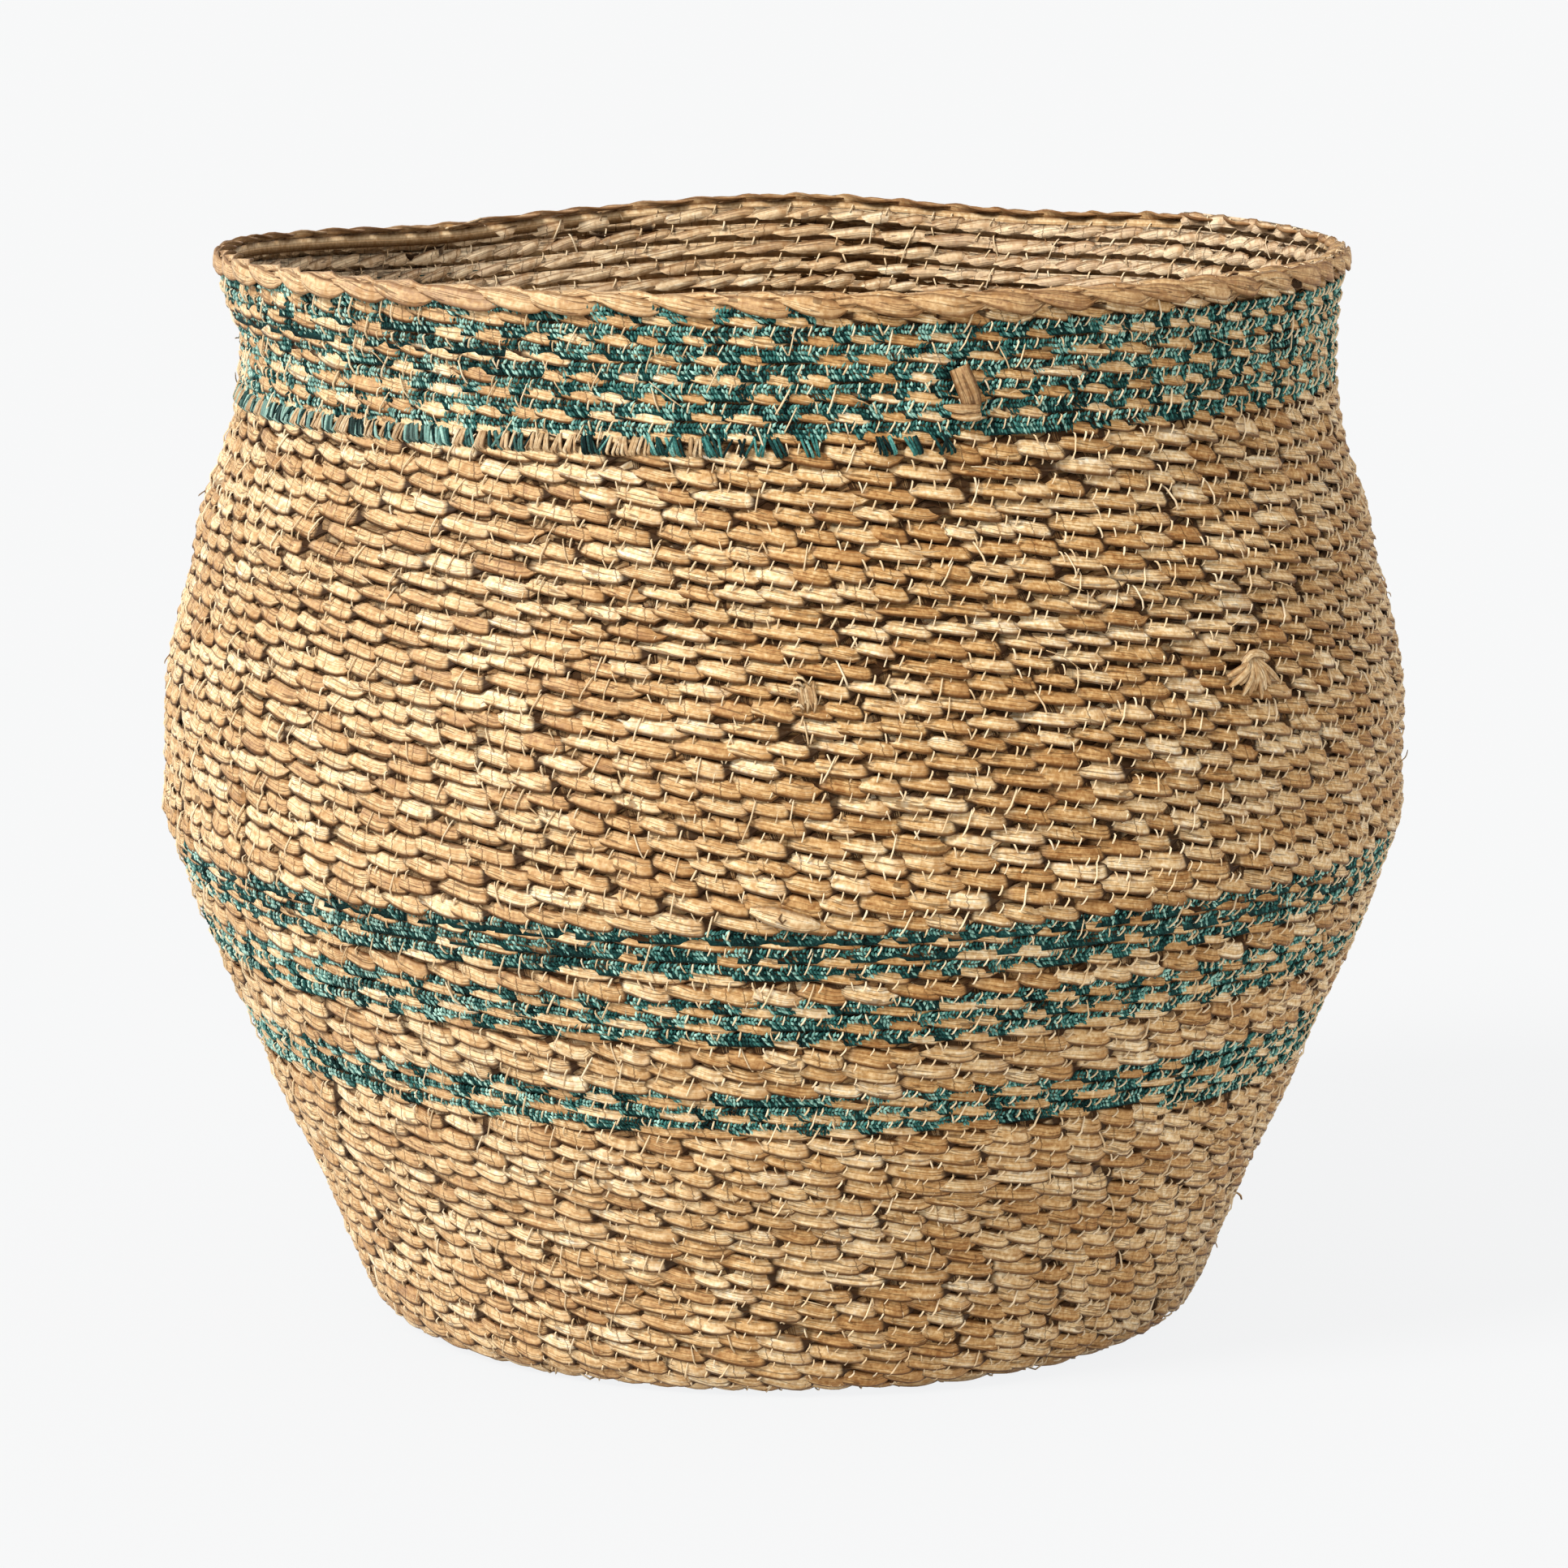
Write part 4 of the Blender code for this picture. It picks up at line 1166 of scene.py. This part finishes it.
def splice_knot():
    """A short bundle of frayed strands bound over one course."""
    leaves = Leaves()
    middle = middle_of("splice_knot")
    for i in range(7):
        x = -2.3 + i * 0.7
        sway = 0.9 * math.sin(i * 2.4)
        path = [(x - 0.9 + sway, 4.2 - 0.9 * (i % 2), -0.6), (x - 0.3, 2.0, 0.5 + 0.3 * (i % 2)),
                (x + 0.4, -1.5, 0.8), (x + 0.8 - sway, -4.4 + 0.8 * (i % 3), -0.4)]
        leaves.add(path, 1.1, 0.7, 0.1 + 0.2 * (i % 4), (0.6, 0.4), middle, shade=0.3)
    for x, y in ((-4.5, 3.2), (-5.2, 1.4), (-3.8, 4.6), (-4.4, -3.0)):
        path = [(x, y, 0.2), (x + 1.6, y + 0.9, 1.5), (x + 3.4, y - 0.4, 0.6)]
        leaves.add(path, 1.0, 0.7, 0.9, (0.5, 0.5), middle)
    return leaves


def neck_strand_end():
    """A cut strand folded down over the neck, held by strands across its foot."""
    leaves = Leaves()
    middle = middle_of("neck_strand_end")
    leaves.add([(-1.6, 7.6, 1.0), (0.0, 3.5, 1.7), (1.7, -0.8, 1.7), (2.6, -4.2, 0.9)],
               6.3, 1.1, 0.05, (0.93, 0.9), middle, shade=0.3)
    leaves.add([(-5.8, -3.4, 0.5), (-2.6, -4.1, 1.9), (1.6, -4.4, 2.2), (4.6, -4.3, 1.3)],
               3.0, 0.9, 0.35, (0.3, 0.85), middle, shade=0.15)
    leaves.add([(-3.4, -6.0, 0.5), (-0.6, -6.5, 1.8), (2.4, -6.6, 1.9), (4.9, -6.4, 1.0)],
               2.6, 0.8, 0.42, (0.5, 0.8), middle)
    return leaves


def base_start():
    """The start of the plait: three strands wound tight round the middle of the base."""
    leaves = Leaves()
    for strand in range(3):
        path = []
        for i in range(12):
            angle = math.tau * (strand / 3 + i / 9)
            reach = 0.6 + 0.8 * i
            height = 2.3 + 0.5 * math.sin(i * 2.1 + strand * 2.1)
            path.append((reach * math.cos(angle), reach * math.sin(angle), height))
        leaves.add(path, 3.6, 1.6, 0.35 + 0.2 * strand, (0.5, 0.5), None)
    return leaves


def rim_drop(azimuth):
    """How far the rim hangs down at an azimuth in radians, in millimetres."""
    return sum(max(0.0, math.cos(azimuth - math.radians(degrees))) ** sharpness * depth
               for degrees, depth, sharpness in DIPS)


def rim_strand_end():
    """A strand end that lies along the back of the rim and lifts off it at its tip."""
    leaves = Leaves()
    low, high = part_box("rim_strand_end")
    middle = (low + high) / 2
    azimuth = math.atan2(middle.y, middle.x)
    radius = math.hypot(middle.x, middle.y)
    facing = (math.cos(azimuth) * 0.3, math.sin(azimuth) * 0.3, 0.95)
    for i, (start, end, lift) in enumerate(((7.0, -6.0, 1.6), (5.0, -4.0, 0.9))):
        path = []
        for share in (0.0, 0.35, 0.7, 1.0):
            angle = azimuth + (start + (end - start) * share) * MM / radius
            height = RIM_TOP / MM - 0.8 - rim_drop(angle) + share ** 2 * lift - 0.4 * i
            path.append((radius * math.cos(angle) / MM, radius * math.sin(angle) / MM, height))
        leaves.add(path, 4.6 - i, 0.8, 0.9, (0.5, 0.85), None, facing)
    return leaves


def wide_lens():
    """One wide pale strand that stands out in the course above the teal bands, with a hooked thread on it."""
    leaves = Leaves()
    leaves.add([(-10.5, 2.6, -0.2), (-4.0, 1.2, 0.9), (3.0, -0.6, 1.0), (9.0, -2.0, -0.3)],
               5.6, 0.8, 0.80, (0.35, 0.35), WIDE_LENS_PLACE)
    leaves.add([(-1.6, 2.2, 1.2), (-2.4, 0.4, 1.7), (-1.2, -0.5, 1.8), (-0.4, 0.5, 1.5)],
               0.6, 0.6, 0.0, (0.8, 0.8), WIDE_LENS_PLACE, shade=1.0)
    return leaves


def loose_fibres():
    """Stray fibres that lie on the wall or lift off it a little, and the loose end low on the right."""
    leaves = Leaves()
    draws = np.random.default_rng(SEED)
    for _ in range(STRAY_FIBRES):
        azimuth = draws.uniform(-180.0, 180.0)
        height = draws.uniform(12.0, 318.0) * MM
        length = draws.uniform(4.0, 11.0)
        lean = draws.normal(-0.15, 0.35)
        lift = draws.uniform(0.3, 1.2)
        middle_height = lean * length * 0.5 + draws.normal(0.0, 0.6)
        path = [(0.0, 0.0, -0.6), (length * 0.5, middle_height, lift * 0.7), (length, lean * length, lift)]
        leaves.add(path, 0.42, 0.3, draws.uniform(0.5, 1.0), (0.8, 0.35), (azimuth, height))
    leaves.add([(0.0, 0.0, -0.5), (0.8, -0.4, 1.0), (1.0, -1.6, 1.9)],
               0.7, 0.6, 0.6, (0.8, 0.6), LOOSE_END_PLACE)
    return leaves


def camera():
    """The photograph's view."""
    data = bpy.data.cameras.new("camera")
    data.lens = CAMERA_LENS
    data.sensor_width = CAMERA_SENSOR
    data.clip_end = CAMERA_REACH
    item = bpy.data.objects.new("camera", data)
    item.location = CAMERA_PLACE
    item.rotation_euler = (math.radians(CAMERA_TILT), 0.0, 0.0)
    bpy.context.scene.collection.objects.link(item)
    bpy.context.scene.camera = item


def show_plain(tree, lit, plain, share, output):
    """Show a plain colour to rays from the camera, a gloss or glass, and what is lit to all others."""
    path = tree.add("ShaderNodeLightPath")
    camera_ray, glossy_ray, glass_ray = (
        Number(tree, path.outputs[kind])
        for kind in ("Is Camera Ray", "Is Glossy Ray", "Is Transmission Ray"))
    seen = camera_ray.at_least(glossy_ray).at_least(glass_ray) * share
    mix = tree.add("ShaderNodeMixShader", None, {0: seen, 1: lit, 2: plain})
    tree.give(tree.nodes_and_links.nodes[output].inputs[0], mix.outputs[0])


def studio():
    """A pale floor, an even sky and one soft key light from the front left."""
    world = bpy.data.worlds.new("world")
    bpy.context.scene.world = world
    world.use_nodes = True
    tree = Tree(world.node_tree)
    sky = world.node_tree.nodes["Background"]
    sky.inputs["Color"].default_value = (*SKY_COLOUR, 1.0)
    sky.inputs["Strength"].default_value = SKY_STRENGTH
    plain = tree.add("ShaderNodeBackground", None, {"Color": (*BACKGROUND, 1.0), "Strength": 1.0})
    show_plain(tree, sky.outputs[0], plain.outputs[0], 1.0, "World Output")

    data = bpy.data.lights.new("key", "SUN")
    data.energy = KEY_STRENGTH
    data.angle = math.radians(KEY_ANGLE)
    data.color = KEY_COLOUR
    item = bpy.data.objects.new("key", data)
    item.rotation_euler = (-Vector(KEY_FROM)).to_track_quat("-Z", "Y").to_euler()
    bpy.context.scene.collection.objects.link(item)

    bpy.ops.mesh.primitive_circle_add(
        vertices=FLOOR_CORNERS, radius=FLOOR_RADIUS, fill_type="NGON", location=(0.0, 0.0, -FLOOR_DROP))
    floor = bpy.context.object
    floor.name = "floor"
    finish = Finish("floor", Roughness=0.9, Base_Color=(*FLOOR_COLOUR, 1.0))
    plain = finish.add("ShaderNodeEmission", None, {"Color": (*FLOOR_SEEN, 1.0), "Strength": 1.0})
    show_plain(finish, finish.shader.outputs[0], plain.outputs[0], FLOOR_SEEN_SHARE, "Material Output")
    floor.data.materials.append(finish.material)


def keep(piece, slot, *nodes):
    """Parent a finished piece to the root, and hide the solids that it replaces."""
    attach(piece, "root")
    if nodes:
        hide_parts(*nodes)


def plait_spans():
    """The first and last turn of each length of plait."""
    first = BASE_TURNS
    spans = {"base_coil": (BASE_START_TURN, BASE_TURNS)}
    for name, share in PLAIT_END_SHARES.items():
        spans[name] = (first, BASE_TURNS + share * WALL_TURNS)
        first = spans[name][1]
    return spans


def lay_plait(spans, seagrass):
    """The strands of each length of plait. The longest length is in two pieces."""
    recipe = plait_recipe()
    for name, (first, last) in spans.items():
        teal = name in TEAL_BANDS
        covered, stretch = TEAL_BANDS.get(name, (0.0, 1.0))
        count = 2 if name == "belly_coil_lower" else 1
        for part in range(count):
            start = first + (last - first) * part / count
            end = first + (last - first) * (part + 1) / count
            sizes = helix_sizes(start, end, STRAND_STEP, seagrass, stretch)
            piece = make(recipe, f"{name}_strands_{part + 1}" if count > 1 else f"{name}_strands", sizes | {
                "Strand Width": STRAND_WIDTH, "Strand Thickness": STRAND_THICKNESS,
                "Strand Sway": TEAL_SWAY if teal else STRAND_SWAY, "Strand Drop": TEAL_DROP if teal else 0.0,
                "Strand Sink": TEAL_SINK if teal else 0.0,
                "Outer Width Share": TEAL_WIDTH_SHARE if teal else 1.0,
                "Wider At Left": NECK_WIDER_AT_LEFT if name == "neck_teal_band" else 0.0,
                "Covered Share": covered})
            lay_out_strands(piece, start)
            keep(piece, "teal_plait" if teal else "seagrass", name)


def sew_courses(spans, thread):
    """The sewing thread outside, in two pieces, and inside, where its stitches are farther apart."""
    recipe = sewn_recipe("sewing_thread", THREAD_SHAPE)
    middle = spans["belly_coil_lower"][0]
    top = spans["neck_teal_band"][1]
    for name, first, last, step, side in (
            ("sewing_thread_lower", BASE_TURNS, middle, STITCH_STEP, 1.0),
            ("sewing_thread_upper", middle, top, STITCH_STEP, 1.0),
            ("sewing_thread_inside", BASE_TURNS, top, INSIDE_STITCH_STEP, -1.0)):
        piece = make(recipe, name, helix_sizes(first, last, step, thread) | {
            "Width": THREAD_WIDTH, "Thickness": THREAD_WIDTH, "Side": side, "Lean": THREAD_LEAN,
            "Long Share": LONG_STITCH_SHARE, "Wraps": 0.0, "Group Start": 0.0, "Group End": 1.0,
            "Farthest Right": 1.0})
        lay_out_cells(piece)
        keep(piece, "seagrass")


def wrap_tufted_course(spans, seagrass, yarn):
    """The short wraps of seagrass and the tufts of yarn that take turns on the tufted course."""
    recipe = sewn_recipe("course_wraps", STRAND_SHAPE)
    first, last = spans["tufted_course"]
    first += FIRST_TUFT_TURN
    for name, (start, end, right, step, lean), material, slot in (
            ("tufted_course_natural_wraps", NATURAL_WRAPS, seagrass, "seagrass"),
            ("tufted_course_teal_tufts", TEAL_TUFTS, yarn, "teal_plait")):
        piece = make(recipe, name, helix_sizes(first, last, step, material) | {
            "Width": step * TUFT_WIDTH_SHARE, "Thickness": TUFT_THICKNESS, "Side": 1.0, "Lean": lean,
            "Long Share": 0.0, "Wraps": 1.0, "Group Start": start, "Group End": end, "Farthest Right": right})
        lay_out_cells(piece)
        keep(piece, slot)


def lay_yarn(spans, yarn):
    """Three rows of teal yarn in each teal band."""
    recipe = yarn_recipe()
    for name, (covered, stretch) in TEAL_BANDS.items():
        first, last = spans[name]
        if name == "neck_teal_band":
            last -= YARN_ENDS_EARLIER
        for row, (shift, rise, out, height, lean, hides) in YARN_ROWS.items():
            sizes = helix_sizes(first + shift, last, YARN_STEP, yarn, stretch)
            piece = make(recipe, f"{name}_yarn_{row}", sizes | {
                "Rise": rise, "Out": out, "Stroke Height": height, "Stroke Width": YARN_WIDTH, "Lean": lean,
                "Between Lenses": hides, "Covered Share": covered})
            lay_out_cells(piece)
            keep(piece, "teal_plait")


def plait_rim(seagrass):
    """The strands of the rim."""
    piece = make(rim_recipe(), "rim_plait_strands", {
        "Radius": RIM_MIDDLE_RADIUS, "Height": RIM_MIDDLE_HEIGHT, "Strand Width": RIM_STRAND_WIDTH,
        "Strand Thickness": RIM_STRAND_THICKNESS, "Material": seagrass})
    lay_out_strands(piece, 0.0)
    keep(piece, "seagrass", "rim_plait")


def add_strand_ends(seagrass):
    """What is drawn one by one: the splices, the folded end, the wide strand, the fibres and the ends."""
    recipe = laid_recipe()
    for name, leaves, slot, nodes in (
            ("splice_fan_strands", splice_fan(), "strand_end", ["splice_fan"]),
            ("splice_knot_strands", splice_knot(), "strand_end", ["splice_knot"]),
            ("neck_strand_end_fold", neck_strand_end(), "strand_end", ["neck_strand_end"]),
            ("wide_strand", wide_lens(), "seagrass", []),
            ("loose_fibres", loose_fibres(), "seagrass", [])):
        piece = make(recipe, name, {"Material": seagrass}, leaves.mesh(name, seagrass))
        lay_out_cells(piece)
        keep(piece, slot, *nodes)
    for name, leaves, slot, node in (
            ("rim_strand_end_leaf", rim_strand_end(), "strand_end", "rim_strand_end"),
            ("base_start_strands", base_start(), "seagrass", "base_start_button")):
        piece = bpy.data.objects.new(name, leaves.mesh(name, seagrass))
        bpy.context.scene.collection.objects.link(piece)
        lay_out_cells(piece)
        keep(piece, slot, node)


def main():
    camera()
    studio()
    outline = outline_object()
    seagrass = seagrass_finish()
    yarn = yarn_finish()
    spans = plait_spans()
    lay_plait(spans, seagrass)
    sew_courses(spans, thread_finish())
    wrap_tufted_course(spans, seagrass, yarn)
    lay_yarn(spans, yarn)
    plait_rim(seagrass)
    add_strand_ends(seagrass)
    bpy.data.objects.remove(outline)


main()
bpy.context.scene.view_settings.view_transform = "Standard"
